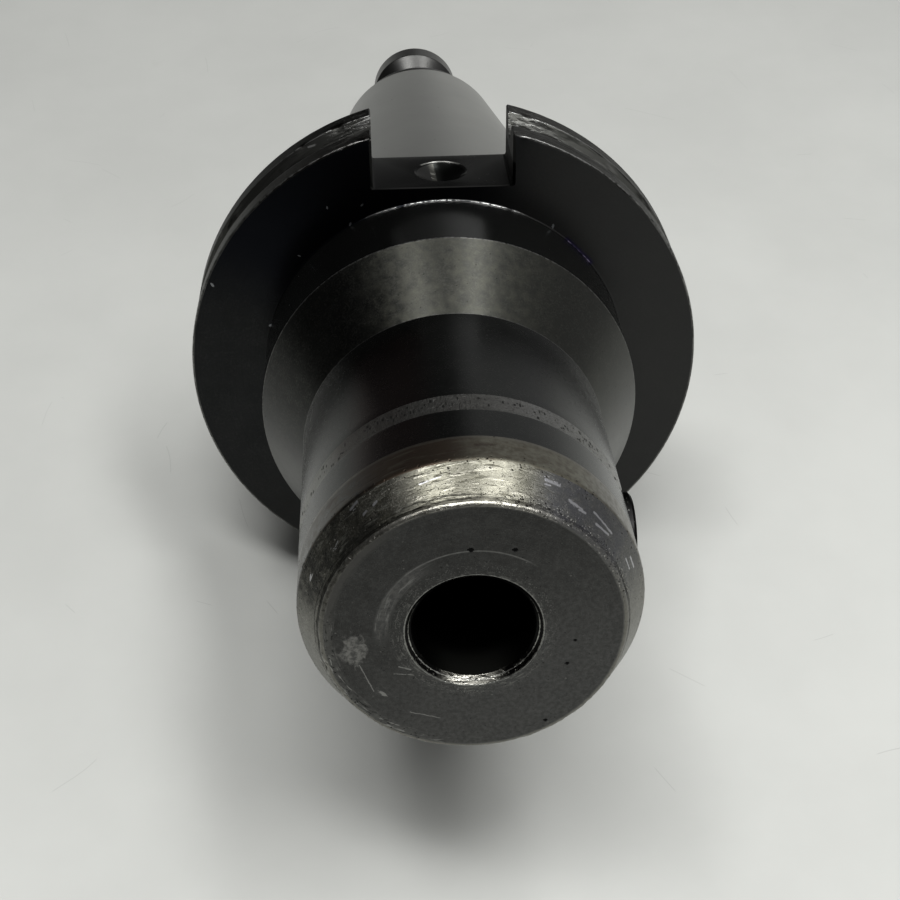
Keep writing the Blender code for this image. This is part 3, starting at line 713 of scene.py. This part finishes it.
def screwSteel():
    return finish("blackScrew", (0.01, 0.01, 0.01), 0.34, [
        (mottle(1.6, 0.4), (0.022, 0.022, 0.021), 0.4, 0.5),
        (pits(0.6, 0.4, 0.26), (0.34, 0.34, 0.32), 0.35, 0.8, -0.02)], shine=0.45)


def tickSteel():
    return finish("darkTick", (0.016, 0.016, 0.015), 0.6, [
        (mottle(1.0, 0.5), (0.03, 0.03, 0.028), 0.5)])


def studSteel():
    return finish("darkStud", (0.04, 0.04, 0.039), 0.32, [
        (mottle(4.0, 0.5), (0.058, 0.058, 0.055), 0.38, 0.6),
        (grain(0.4), (0.1, 0.1, 0.097), None, 0.35),
        (lines(along, 0.25), (0.1, 0.1, 0.097), None, 0.35, 0.003),
        (pits(1.2, 0.2, 0.18), (0.03, 0.03, 0.03), 0.5, 0.7, 0.01)])

zones = {"taper": taperSteel(), "flange": flangeSteel(), "groove": grooveSteel(), "slot": slotSteel(),
         "neck": neckSteel(), "cone": coneSteel(), "nose": noseSteel(), "band": bandSteel(),
         "chamfer": chamferSteel(), "face": faceSteel(), "bore": boreSteel()}
screwFinish, studFinish, tickFinish = screwSteel(), studSteel(), tickSteel()
print("steels ready:", len(zones) + 3)


# turned shapes
def softCorner(before, corner, after, radius, steps):
    # points of the arc that replaces one corner of a profile
    toBefore = Vector(before) - Vector(corner)
    toAfter = Vector(after) - Vector(corner)
    angleBefore = math.atan2(toBefore.y, toBefore.x)
    angleAfter = math.atan2(toAfter.y, toAfter.x)
    opening = (angleAfter - angleBefore + math.pi) % math.tau - math.pi
    distance = radius / math.sin(abs(opening) / 2)
    middle = angleBefore + opening / 2
    centre = Vector(corner) + distance * Vector((math.cos(middle), math.sin(middle)))
    turn = math.copysign(math.pi - abs(opening), opening)
    angles = [middle + math.pi + turn / 2 - turn * step / steps for step in range(steps + 1)]
    return [centre + radius * Vector((math.cos(angle), math.sin(angle))) for angle in angles]


def fineProfile(corners, closed):
    # corners are (radius, station, rounding, spacing of the rows that follow, zone that follows)
    bends = []
    count = len(corners)
    for index, (reach, station, rounding, spacing, zone) in enumerate(corners):
        bend = [Vector((reach, station))]
        if rounding and (closed or 0 < index < count - 1):
            after = corners[(index + 1) % count]
            bend = softCorner(corners[index - 1][:2], (reach, station), after[:2], rounding, 4)
        bends.append(bend)
    points, rowZones = [], []
    for index, (reach, station, rounding, spacing, zone) in enumerate(corners):
        after = (index + 1) % count
        points += bends[index]
        rowZones += [zone] * len(bends[index])
        if not closed and index == count - 1:
            break
        start, end = bends[index][-1], bends[after][0]
        length = (end - start).length
        rows = max(1, round(length / spacing))
        # a row close to each rounded corner keeps its shading crisp
        nextRounding = corners[after][2]
        guards = [guard for guard, near in
                  ((0.5 * rounding, rounding), (length - 0.5 * nextRounding, nextRounding)) if near]
        stops = sorted({length * step / rows for step in range(1, rows)}
                       | {guard for guard in guards if 0.05 < guard < length - 0.05})
        kept = []
        for stop in stops:
            if not kept or stop - kept[-1] > 0.04:
                kept.append(stop)
        points += [start + (end - start) * (stop / length) for stop in kept]
        rowZones += [zone] * len(kept)
    return points, rowZones


def turnedMesh(name, corners, facets, steels, closed=False):
    # steels is a dictionary of zone and steel, and an open profile starts and ends on the axis
    points, rowZones = fineProfile(corners, closed)
    vertices, rings = [], []
    for point in points:
        if point.x < 1e-6:
            rings.append([len(vertices)] * facets)
            vertices.append((0.0, 0.0, point.y))
            continue
        rings.append(list(range(len(vertices), len(vertices) + facets)))
        for facet in range(facets):
            angle = math.tau * facet / facets
            vertices.append((point.x * math.sin(angle), -point.x * math.cos(angle), point.y))
    faces, faceZones = [], []
    for index in range(len(points) if closed else len(points) - 1):
        here, there = rings[index], rings[(index + 1) % len(points)]
        for facet in range(facets):
            after = (facet + 1) % facets
            quad = (here[facet], here[after], there[after], there[facet])
            face = tuple(dict.fromkeys(quad))
            if len(face) > 2:
                faces.append(face)
                faceZones.append(list(steels).index(rowZones[index]))
    mesh = solid(name, vertices, faces)
    for steel in steels.values():
        mesh.materials.append(steel)
    mesh.polygons.foreach_set("material_index", faceZones)
    return mesh


def oneZone(name, corners, facets, zone, steel):
    mesh = turnedMesh(name, [(*corner, zone) for corner in corners], facets, {zone: steel})
    return show(name, mesh)


def outward(mesh):
    work = bmesh.new()
    work.from_mesh(mesh)
    bmesh.ops.recalc_face_normals(work, faces=work.faces)
    work.to_mesh(mesh)
    work.free()


def solid(name, vertices, faces):
    mesh = bpy.data.meshes.new(name)
    mesh.from_pydata(vertices, [], faces)
    outward(mesh)
    return mesh


def show(name, mesh):
    thing = bpy.data.objects.new(name, mesh)
    bpy.context.scene.collection.objects.link(thing)
    return thing


def plainMesh(thing, name):
    # the shape with its modifiers worked in
    bpy.context.view_layer.update()
    made = bpy.data.meshes.new_from_object(thing.evaluated_get(bpy.context.evaluated_depsgraph_get()))
    made.name = name
    return made


def swapMesh(thing, made):
    thing.modifiers.clear()
    old = thing.data
    thing.data = made
    bpy.data.meshes.remove(old)


def carve(thing, cutterMesh, zone=0):
    cutter = show(thing.name + "Cutter", cutterMesh)
    for steel in thing.data.materials:
        cutterMesh.materials.append(steel)
    for face in cutterMesh.polygons:
        face.material_index = zone
    cutting = thing.modifiers.new("cutting", "BOOLEAN")
    cutting.operation, cutting.solver, cutting.object = "DIFFERENCE", "EXACT", cutter
    swapMesh(thing, plainMesh(thing, thing.name))
    bpy.data.objects.remove(cutter)
    bpy.data.meshes.remove(cutterMesh)


def finishShading(mesh, angle=28.0):
    mesh.polygons.foreach_set("use_smooth", [True] * len(mesh.polygons))
    mesh.set_sharp_from_angle(angle=math.radians(angle))


def settle(thing, lying, body):
    # the place goes into the mesh, so that the object itself sits at the origin
    thing.data.transform(lying)
    thing.matrix_world = Matrix.Identity(4)
    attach(thing, body)


# holder body
holder = {"facets": 320, "gauge": 34.925, "flange": 49.2125, "front": 82.55, "rear": 98.425,
          "neck": 34.925, "nose": 26.9875, "face": 23.24, "bore": 9.525,
          "slotHalf": 12.85, "upperFloor": 37.5, "lowerFloor": 35.3, "slotBreak": 0.50,
          "dimple": 5.0, "dimpleSlope": math.tan(math.radians(59)), "screwStation": 23.2, "screwHole": 8.2375}


def holderCorners(size):
    nose, neck, gauge, rim = size["nose"], size["neck"], size["gauge"], size["flange"]
    front, rear = size["front"], size["rear"]
    return [(size["bore"], 1.1, 0.12, 0.5, "bore"),
            (10.625, 0.0, 0.12, 0.55, "face"),
            (size["face"], 0.0, 0.7, 0.40, "chamfer"),
            (nose, 6.49, 1.4, 0.55, "nose"),
            (nose, 20.3, 0.0, 0.5, "band"),
            (nose - 0.06, 20.9, 0.0, 0.5, "band"),
            (nose - 0.06, 24.4, 0.0, 0.5, "band"),
            (nose, 25.0, 0.0, 2.2, "nose"),
            (nose, 52.40, 0.25, 1.6, "cone"),
            (neck, 66.15, 0.25, 2.2, "neck"),
            (neck, front, 0.25, 1.0, "flange"),
            (rim, front, 0.3, 0.55, "flange"),
            (rim, 86.81, 0.25, 0.6, "groove"),
            (45.61, 88.89, 0.3, 0.7, "groove"),
            (45.61, 92.09, 0.3, 0.6, "groove"),
            (rim, 94.17, 0.25, 0.55, "flange"),
            (rim, rear, 0.5, 3.0, "flange"),
            (gauge + 1.8, rear, 0.0, 0.6, "flange"),
            (gauge + 1.0, rear - 0.8, 0.0, 0.5, "flange"),
            (gauge, rear - 0.8, 0.0, 1.2, "taper"),
            (gauge, 101.6, 0.0, 5.0, "taper"),
            (20.298, 201.9, 0.25, 0.5, "taper"),
            (18.998, 203.2, 0.15, 1.4, "taper"),
            (13.4, 203.2, 0.0, 4.0, "bore"),
            (13.4, 190.9, 0.0, 0.5, "bore"),
            (13.0, 190.9, 0.0, 8.0, "bore"),
            (13.0, 160.2, 0.0, 3.0, "bore"),
            (7.0, 156.6, 0.0, 12.0, "bore"),
            (7.0, 53.92, 0.0, 1.5, "bore"),
            (size["bore"], 52.4, 0.0, 5.0, "bore")]


def bumped(mesh, rim):
    # knocks on the front edge and by the slots, and the rolled lip of the face
    knocks = [((-22.6, 6.2, 0.6), 1.3, 0.30), ((-21.4, 10.4, 0.7), 1.0, 0.22),
              ((-23.6, 1.2, 0.8), 0.9, 0.16), ((-17.5, 16.2, 0.7), 1.1, 0.20),
              ((19.2, -14.6, 0.9), 0.9, 0.14), ((14.9, 18.6, 0.6), 0.9, 0.14),
              ((13.9, -47.2, 83.0), 1.2, 0.45), ((-13.9, -47.2, 83.1), 1.0, 0.35),
              ((-15.5, -46.7, 86.8), 1.5, 0.40), ((-19.0, -45.4, 94.2), 1.4, 0.35),
              ((16.5, -46.4, 94.3), 1.3, 0.35), ((-25.5, -42.1, 94.0), 1.0, 0.25)]
    move = {}
    for vertex in mesh.vertices:
        here = vertex.co
        depth = 0.0
        radius = math.hypot(here.x, here.y)
        if here.z < 1.6 and 22.4 < radius < 24.4:
            # the lip: a low wave along the edge, with small breaks
            lip = 1.0 - min(1.0, abs(radius - 23.4) / 0.9)
            depth += lip * (0.07 * noise.noise(here * 0.9) + 0.05 * noise.noise(here * 2.3))
        elif radius > rim - 0.6 and 82.0 < here.z < 99.0:
            depth += 0.03 * max(0.0, noise.noise(here * 0.7))
        for centre, reach, deep in knocks:
            away = (here - Vector(centre)).length / reach
            if away < 1.0:
                depth += deep * (1.0 - away * away) ** 2
        if depth:
            move[vertex.index] = vertex.normal * -depth
    for index, step in move.items():
        mesh.vertices[index].co += step


def slotCutter(size, side, floor):
    # a box with its long corners softened, slightly wider at both ends and at the rim
    half, top, broken = size["slotHalf"], size["flange"] + 4, size["slotBreak"]
    rimLevel = math.sqrt(size["flange"] ** 2 - half ** 2)
    outline = [(half + 0.9, top), (half + 0.9, rimLevel + 0.6), (half, rimLevel - 0.3), (half, floor + 0.5),
               (half - 0.15, floor + 0.15), (half - 0.5, floor)]
    outline += [(-across, level) for across, level in reversed(outline)]
    middle = (floor + top) / 2
    front, rear = size["front"], size["rear"]
    stations = [(front - 3, broken), (front - 0.02, broken), (front + broken, 0.0), (rear - broken, 0.0),
                (rear + 0.02, broken), (rear + 3, broken)]
    vertices, faces = [], []
    for station, wider in stations:
        for across, level in outline:
            spread = math.copysign(wider, across) if level < top else 0.0
            sink = 0.2 * wider if level < middle - 3 else 0.0
            vertices.append((across + spread, -side * (level - sink), station))
    count = len(outline)
    for row in range(len(stations) - 1):
        for index in range(count):
            here, after = row * count + index, row * count + (index + 1) % count
            faces.append((here, after, after + count, here + count))
    faces.append(tuple(range(count)))
    faces.append(tuple(range((len(stations) - 1) * count, len(stations) * count)))
    return solid("slotCutter", vertices, faces)


def turnedCutter(corners, lying, facets=96):
    unrounded = [(*corner, 0.0, 100.0, "cut") for corner in corners]
    mesh = turnedMesh("turnedCutter", unrounded, facets, {"cut": None})
    mesh.materials.clear()
    mesh.transform(lying)
    return mesh


def makeHolder(size):
    mesh = turnedMesh("holderBody", holderCorners(size), size["facets"], zones, closed=True)
    bumped(mesh, size["flange"])
    body = show("holderBody", mesh)
    slotZone, boreZone = list(zones).index("slot"), list(zones).index("bore")
    carve(body, slotCutter(size, 1, size["upperFloor"]), slotZone)
    carve(body, slotCutter(size, -1, size["lowerFloor"]), slotZone)
    reach, slope = size["dimple"], size["dimpleSlope"]
    middle = (size["front"] + size["rear"]) / 2
    upright = Matrix.Translation((0, -size["upperFloor"], middle)) @ Matrix.Rotation(math.radians(90), 4, "X")
    depth = reach / slope
    dimple = [(0.0, -depth), (reach - 0.25, -0.25 / slope), (reach + 0.15, 0.12), (reach + 3.0, 3.0),
              (0.0, 3.0)]
    carve(body, turnedCutter(dimple, upright), slotZone)
    hole, nose = size["screwHole"], size["nose"]
    sideways = Matrix.Translation((0, 0, size["screwStation"])) @ Matrix.Rotation(math.radians(90), 4, "Y")
    outline = [(0.0, 5.0), (hole, 5.0), (hole, nose - 0.6), (hole + 2.4, nose + 1.8), (hole + 2.4, nose + 4),
               (0.0, nose + 4)]
    carve(body, turnedCutter(outline, sideways), boreZone)
    finishShading(body.data)
    settle(body, layDown, "holder")
    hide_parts("holder_body")
    print("holder body made:", len(body.data.polygons), "faces")


makeHolder(holder)


# Geometry Nodes helpers
def newTree(name, inputs):
    # the inputs are a piece's own values, whole numbers as Int and the steel as Material
    kinds = {int: "Int", float: "Float", tuple: "Vector", bpy.types.Material: "Material"}
    tree = bpy.data.node_groups.new(name, "GeometryNodeTree")
    tree.interface.new_socket("Geometry", in_out="INPUT", socket_type="NodeSocketGeometry")
    for label, default in inputs.items():
        kind = "NodeSocket" + kinds[type(default)]
        socket = tree.interface.new_socket(label, in_out="INPUT", socket_type=kind)
        socket.default_value = default
    tree.interface.new_socket("Geometry", in_out="OUTPUT", socket_type="NodeSocketGeometry")
    return tree, tree.nodes.new("NodeGroupInput").outputs, tree.nodes.new("NodeGroupOutput").inputs


def endTree(tree, geometry, given, out):
    real = add(tree, "GeometryNodeRealizeInstances", geometry)
    steel = add(tree, "GeometryNodeSetMaterial", real.outputs[0])
    feed(tree, steel.inputs["Material"], given["steel"])
    feed(tree, out[0], steel.outputs[0])
    return tree


def grow(name, tree, values):
    # an object whose mesh is what the tree makes from these values
    thing = show(name, bpy.data.meshes.new(name))
    modifier = thing.modifiers.new("grow", "NODES")
    modifier.node_group = tree
    for item in tree.interface.items_tree:
        if item.in_out == "INPUT" and item.name in values:
            modifier[item.identifier] = values[item.name]
    swapMesh(thing, plainMesh(thing, name))
    outward(thing.data)
    return thing


# lock screw
lockScrew = {"radius": 7.9375, "length": 15.875, "start": 11.5125, "station": 23.2, "facets": 96,
             "socket": 3.96875, "socketDepth": 7.0}
screwThread = {"turns": 9.3, "pitch": 1.411, "root": 7.1375, "ridge": 0.80, "steps": 72, "steel": screwFinish}


def threadTree(values):
    tree, given, out = newTree("threadRidge", values)
    height = times(tree, given["turns"], given["pitch"])
    spiral = add(tree, "GeometryNodeCurveSpiral", given["steps"], given["turns"], given["root"],
                 given["root"], height)
    upright = add(tree, "GeometryNodeSetCurveNormal", spiral.outputs[0], mode="Z_UP")
    share = add(tree, "GeometryNodeSplineParameter").outputs["Factor"]
    fromEnd = calc(tree, "MINIMUM", share, less(tree, 1.0, share))
    outline = add(tree, "GeometryNodeCurvePrimitiveCircle")
    outline.inputs["Resolution"].default_value = 4
    feed(tree, outline.inputs["Radius"], given["ridge"])
    tube = add(tree, "GeometryNodeCurveToMesh", upright.outputs[0], outline.outputs[0])
    feed(tree, tube.inputs["Scale"], ramped(tree, times(tree, fromEnd, given["turns"]), 0.0, 0.6, 0.12, 1.0))
    tube.inputs["Fill Caps"].default_value = True
    return endTree(tree, tube.outputs[0], given, out)


def makeLockScrew(size, thread):
    length = size["length"]
    core = size["radius"] - thread["ridge"] + 0.10
    corners = [(0.0, length, 0.0, 2.0), (core - 0.45, length, 0.15, 0.6), (core, length - 0.45, 0.1, 1.5),
               (core, 1.2, 0.15, 0.6), (core - 1.0, 0.0, 0.15, 2.0), (0.0, 0.0, 0.0, 2.0)]
    screw = oneZone("lockScrew", corners, size["facets"], "screw", screwFinish)
    wide = size["socket"] / math.cos(math.radians(30))
    bottom, mouth = length - size["socketDepth"], length + 1.0
    vertices = [(wide * math.cos(math.radians(60 * side)), wide * math.sin(math.radians(60 * side)), level)
                for level in (bottom, mouth) for side in range(6)] + [(0.0, 0.0, bottom - 1.6)]
    faces = [(side, (side + 1) % 6, (side + 1) % 6 + 6, side + 6) for side in range(6)]
    faces += [((side + 1) % 6, side, 12) for side in range(6)] + [tuple(range(6, 12))]
    carve(screw, solid("socket", vertices, faces))
    mouthCone = [(0.0, length - 0.35), (wide - 0.35, length - 0.35), (wide + 0.15, length + 0.15),
                 (wide + 0.15, length + 1), (0.0, length + 1)]
    carve(screw, turnedCutter(mouthCone, Matrix.Identity(4), 48))
    finishShading(screw.data)
    inHole = (layDown @ Matrix.Translation((size["start"], 0, size["station"]))
              @ Matrix.Rotation(math.radians(90), 4, "Y"))
    settle(screw, inHole, "lock_screw")
    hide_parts("side_lock_screw")
    ridge = grow("lockScrewThread", threadTree(thread), thread)
    middled = Matrix.Translation((0, 0, (length - thread["turns"] * thread["pitch"]) / 2))
    settle(ridge, inHole @ middled, "lock_screw")
    print("lock screw made:", len(screw.data.polygons) + len(ridge.data.polygons), "faces")


makeLockScrew(lockScrew, screwThread)


# pull stud
pullStud = {"seat": 203.5, "end": 248.2, "head": 11.5, "headLength": 10.0, "neck": 8.5, "neckLength": 10.0,
            "body": 11.5, "flange": 18.0, "flangeThickness": 8.0, "flats": 15.0, "pilot": 13.1,
            "pilotLength": 12.0, "thread": 12.7, "threadLength": 28.0, "facets": 160}


def makePullStud(size):
    end, seat = size["end"], size["seat"]
    headBase = end - size["headLength"]
    neckBase = headBase - size["neckLength"]
    flangeTop = seat + size["flangeThickness"]
    pilotEnd = seat - size["pilotLength"]
    threadEnd = pilotEnd - size["threadLength"]
    head, neck, body, flange = size["head"], size["neck"], size["body"], size["flange"]
    pilot, thread = size["pilot"], size["thread"]
    corners = [(0.0, end - 1.7, 0.0, 1.0), (2.4, end, 0.1, 1.2), (head - 1.1, end, 0.3, 0.5),
               (head, end - 1.1, 0.3, 1.2), (head, headBase + head - neck, 0.35, 0.6),
               (neck, headBase, 0.5, 1.4), (neck, neckBase, 1.2, 0.8), (body, neckBase, 0.5, 1.4),
               (body, flangeTop, 0.9, 0.9),
               (flange - 1.0, flangeTop, 0.2, 0.5),
               (flange, flangeTop - 1.0, 0.2, 1.4), (flange, seat, 0.35, 1.2), (pilot, seat, 0.2, 3.0),
               (pilot, pilotEnd, 0.2, 1.0), (thread, pilotEnd, 0.1, 4.0), (thread, threadEnd + 2.0, 0.1, 1.0),
               (thread - 2.0, threadEnd, 0.1, 3.0), (0.0, threadEnd, 0.0, 3.0)]
    stud = oneZone("pullStud", corners, size["facets"], "stud", studFinish)
    for side in (1, -1):
        # wrench flats on the flange
        vertices = [(x, y, z) for x in (side * size["flats"], side * (flange + 4)) for y in (-20, 20)
                    for z in (seat - 0.1, flangeTop + 0.4)]
        faces = [(0, 1, 3, 2), (4, 6, 7, 5), (0, 4, 5, 1), (2, 3, 7, 6), (0, 2, 6, 4), (1, 5, 7, 3)]
        carve(stud, solid("flat", vertices, faces))
    finishShading(stud.data)
    settle(stud, layDown, "holder")
    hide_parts("retention_knob")
    print("pull stud made:", len(stud.data.polygons), "faces")


makePullStud(pullStud)


# dark ticks struck into the worn band round the nose
bandTicks = {"count": 360, "radius": 26.93, "station": 22.65, "spread": 1.45, "chance": 0.62, "seed": 7,
             "tick": (0.05, 0.26, 0.70), "steel": tickFinish}


def ticksTree(values):
    tree, given, out = newTree("tickRows", values)
    ring = add(tree, "GeometryNodeMeshCircle", given["count"], given["radius"])

    def chance(kind, low, high, offset):
        node = add(tree, "FunctionNodeRandomValue", data_type=kind)
        live = [socket for socket in node.inputs if socket.enabled]
        if kind == "BOOLEAN":
            feed(tree, live[0], low)
        else:
            live[0].default_value, live[1].default_value = low, high
        feed(tree, node.inputs["Seed"], calc(tree, "ADD", given["seed"], float(offset)))
        return next(socket for socket in node.outputs if socket.enabled)

    slip = times(tree, chance("FLOAT", -1.0, 1.0, 1), given["spread"])
    shift = add(tree, "ShaderNodeCombineXYZ", 0.0, 0.0, calc(tree, "ADD", given["station"], slip))
    moved = add(tree, "GeometryNodeSetPosition", ring.outputs[0])
    feed(tree, moved.inputs["Offset"], shift.outputs[0])
    block = add(tree, "GeometryNodeMeshCube", given["tick"])
    flat = vectorCalc(tree, "MULTIPLY", add(tree, "GeometryNodeInputPosition").outputs[0], (1, 1, 0))
    facing = add(tree, "FunctionNodeAlignRotationToVector", axis="X")
    feed(tree, facing.inputs["Vector"], flat)
    struck = add(tree, "GeometryNodeInstanceOnPoints", moved.outputs[0])
    feed(tree, struck.inputs["Selection"], chance("BOOLEAN", given["chance"], None, 2))
    feed(tree, struck.inputs["Instance"], block.outputs[0])
    feed(tree, struck.inputs["Rotation"], facing.outputs[0])
    feed(tree, struck.inputs["Scale"], chance("FLOAT_VECTOR", (1.0, 0.4, 0.3), (1.0, 1.5, 1.3), 3))
    return endTree(tree, struck.outputs[0], given, out)


ticks = grow("bandTicks", ticksTree(bandTicks), bandTicks)
settle(ticks, layDown, "holder")
print("band ticks made:", len(ticks.data.polygons), "faces")


# floor, light and camera
studio = {"floor": (0.505, 0.512, 0.487), "floorSize": 4.0, "wallLeft": 0.05, "wallRight": 0.36,
          "ceiling": 0.21}
lamps = {"rightFar": {"over": (0.60, 0.62, 2.2), "size": (0.32, 1.50), "turn": 6.5, "radiance": 7.0},
         "rightNear": {"over": (0.915, -0.615, 2.2), "size": (0.45, 1.30), "turn": 14.0, "radiance": 15.5},
         "leftFar": {"over": (-0.58, 0.34, 2.2), "size": (0.28, 0.60), "turn": 0.0, "radiance": 8.0},
         "leftNear": {"over": (-0.25, -0.38, 2.2), "size": (1.40, 0.42), "turn": -32.6, "radiance": 16.5}}
camera = {"place": (-0.012578, -0.261393, 0.254799), "look": (0.042667, 0.696700, -0.716092),
          "right": (0.998386, -0.056616, 0.004404), "lens": 61.5546}


def plainSheet(name, left, right, near, far, level, roughness):
    # a flat sheet of the studio, with its material's tree and shader and the place on it
    material = bpy.data.materials.new(name)
    material.use_nodes = True
    tree = material.node_tree
    shader = tree.nodes["Principled BSDF"]
    shader.inputs["Roughness"].default_value = roughness
    mesh = bpy.data.meshes.new(name)
    mesh.from_pydata([(left, near, level), (right, near, level), (right, far, level), (left, far, level)], [],
                     [(0, 1, 2, 3)])
    mesh.materials.append(material)
    sheet = show(name, mesh)
    spot = add(tree, "ShaderNodeTexCoord").outputs["Object"]
    return sheet, tree, shader, spot, add(tree, "ShaderNodeSeparateXYZ", spot).outputs


def makeFloor():
    half = studio["floorSize"] / 2
    tree, shader, spot, parts = plainSheet("floor", -half, half, -half, half, 0.0, 0.6)[1:]
    # painted light fall-off: the floor is painted brighter towards the camera and to the right
    paintedFalloff = times(tree, ramped(tree, parts[1], -0.13, 0.19, 1.02, 0.76, False),
                    ramped(tree, parts[0], -0.10, 0.10, 0.97, 1.04, False))
    cloud = ramped(tree, noiseFac(tree, spot, 14.0, 6.0, 0.62), 0.25, 0.75, 0.955, 1.045)
    tone = stretched(tree, studio["floor"], times(tree, paintedFalloff, cloud))
    stains = times(tree, ramped(tree, noiseFac(tree, spot, 55.0), 0.70, 0.80),
                   ramped(tree, noiseFac(tree, spot, 17.0), 0.50, 0.62, 0.0, 0.16))
    scratch = times(tree, use(tree, effects["hairlines"], Place=spot, Size=0.017, Share=0.22), 0.30)
    specks = times(tree, use(tree, effects["pits"], Place=spot, Cell=0.021, Share=0.16, Size=0.018), 0.7)
    tone = mixed(tree, "Color", stains, tone, (0.30, 0.30, 0.27))
    tone = mixed(tree, "Color", scratch, tone, (0.26, 0.26, 0.25))
    tone = mixed(tree, "Color", specks, tone, (0.10, 0.10, 0.09))
    feed(tree, shader.inputs["Base Color"], tone)
    shader.inputs["Specular IOR Level"].default_value = 0.3


def makeWorld():
    # a room that is dark on the left, grey on the right and pale overhead
    world = bpy.data.worlds.new("room")
    world.use_nodes = True
    bpy.context.scene.world = world
    tree = world.node_tree
    parts = add(tree, "ShaderNodeSeparateXYZ", add(tree, "ShaderNodeTexCoord").outputs["Generated"])
    wall = ramped(tree, parts.outputs[0], -0.02, 0.14, studio["wallLeft"], studio["wallRight"])
    light = mixed(tree, "Float", ramped(tree, parts.outputs[2], 0.74, 0.90), wall, studio["ceiling"])
    background = tree.nodes["Background"]
    colour = add(tree, "ShaderNodeCombineColor", light, light, light).outputs[0]
    feed(tree, background.inputs["Color"], colour)
    background.inputs["Strength"].default_value = 1.0


def makeLamp(name, size):
    light = bpy.data.lights.new(name, "AREA")
    light.shape = "RECTANGLE"
    light.size, light.size_y = size["size"]
    light.energy = size["radiance"] * math.pi * light.size * light.size_y
    lamp = bpy.data.objects.new(name, light)
    bpy.context.scene.collection.objects.link(lamp)
    lamp.location = size["over"]
    lamp.rotation_euler.z = math.radians(size["turn"])


def makeReflectedShade():
    # a dark sheet on the floor behind the camera, painted shade that only the steel's reflections show
    shadeSheet, tree, shader, spot, parts = plainSheet("darkCard", -1.4, 0.07, -1.5, -0.30, 0.001, 0.9)
    tone = ramped(tree, parts[1], -0.60, -0.30, 0.03, 0.35)
    feed(tree, shader.inputs["Base Color"], add(tree, "ShaderNodeCombineColor", tone, tone, tone).outputs[0])
    shadeSheet.visible_camera = shadeSheet.visible_diffuse = shadeSheet.visible_transmission = shadeSheet.visible_shadow = False


def makeCamera(size):
    data = bpy.data.cameras.new("camera")
    data.sensor_width, data.lens = 36.0, size["lens"]
    data.clip_start, data.clip_end = 0.01, 50.0
    eye = bpy.data.objects.new("camera", data)
    bpy.context.scene.collection.objects.link(eye)
    look, right = Vector(size["look"]).normalized(), Vector(size["right"]).normalized()
    above = right.cross(look)
    turn = Matrix((right, above, -look)).transposed().to_4x4()
    eye.matrix_world = Matrix.Translation(size["place"]) @ turn
    bpy.context.scene.camera = eye


makeFloor()
makeReflectedShade()
makeWorld()
for name, size in lamps.items():
    makeLamp(name + "Lamp", size)
makeCamera(camera)
bpy.context.scene.view_settings.view_transform = "Standard"
print("floor, lamps and camera set")

bpy.context.view_layer.update()
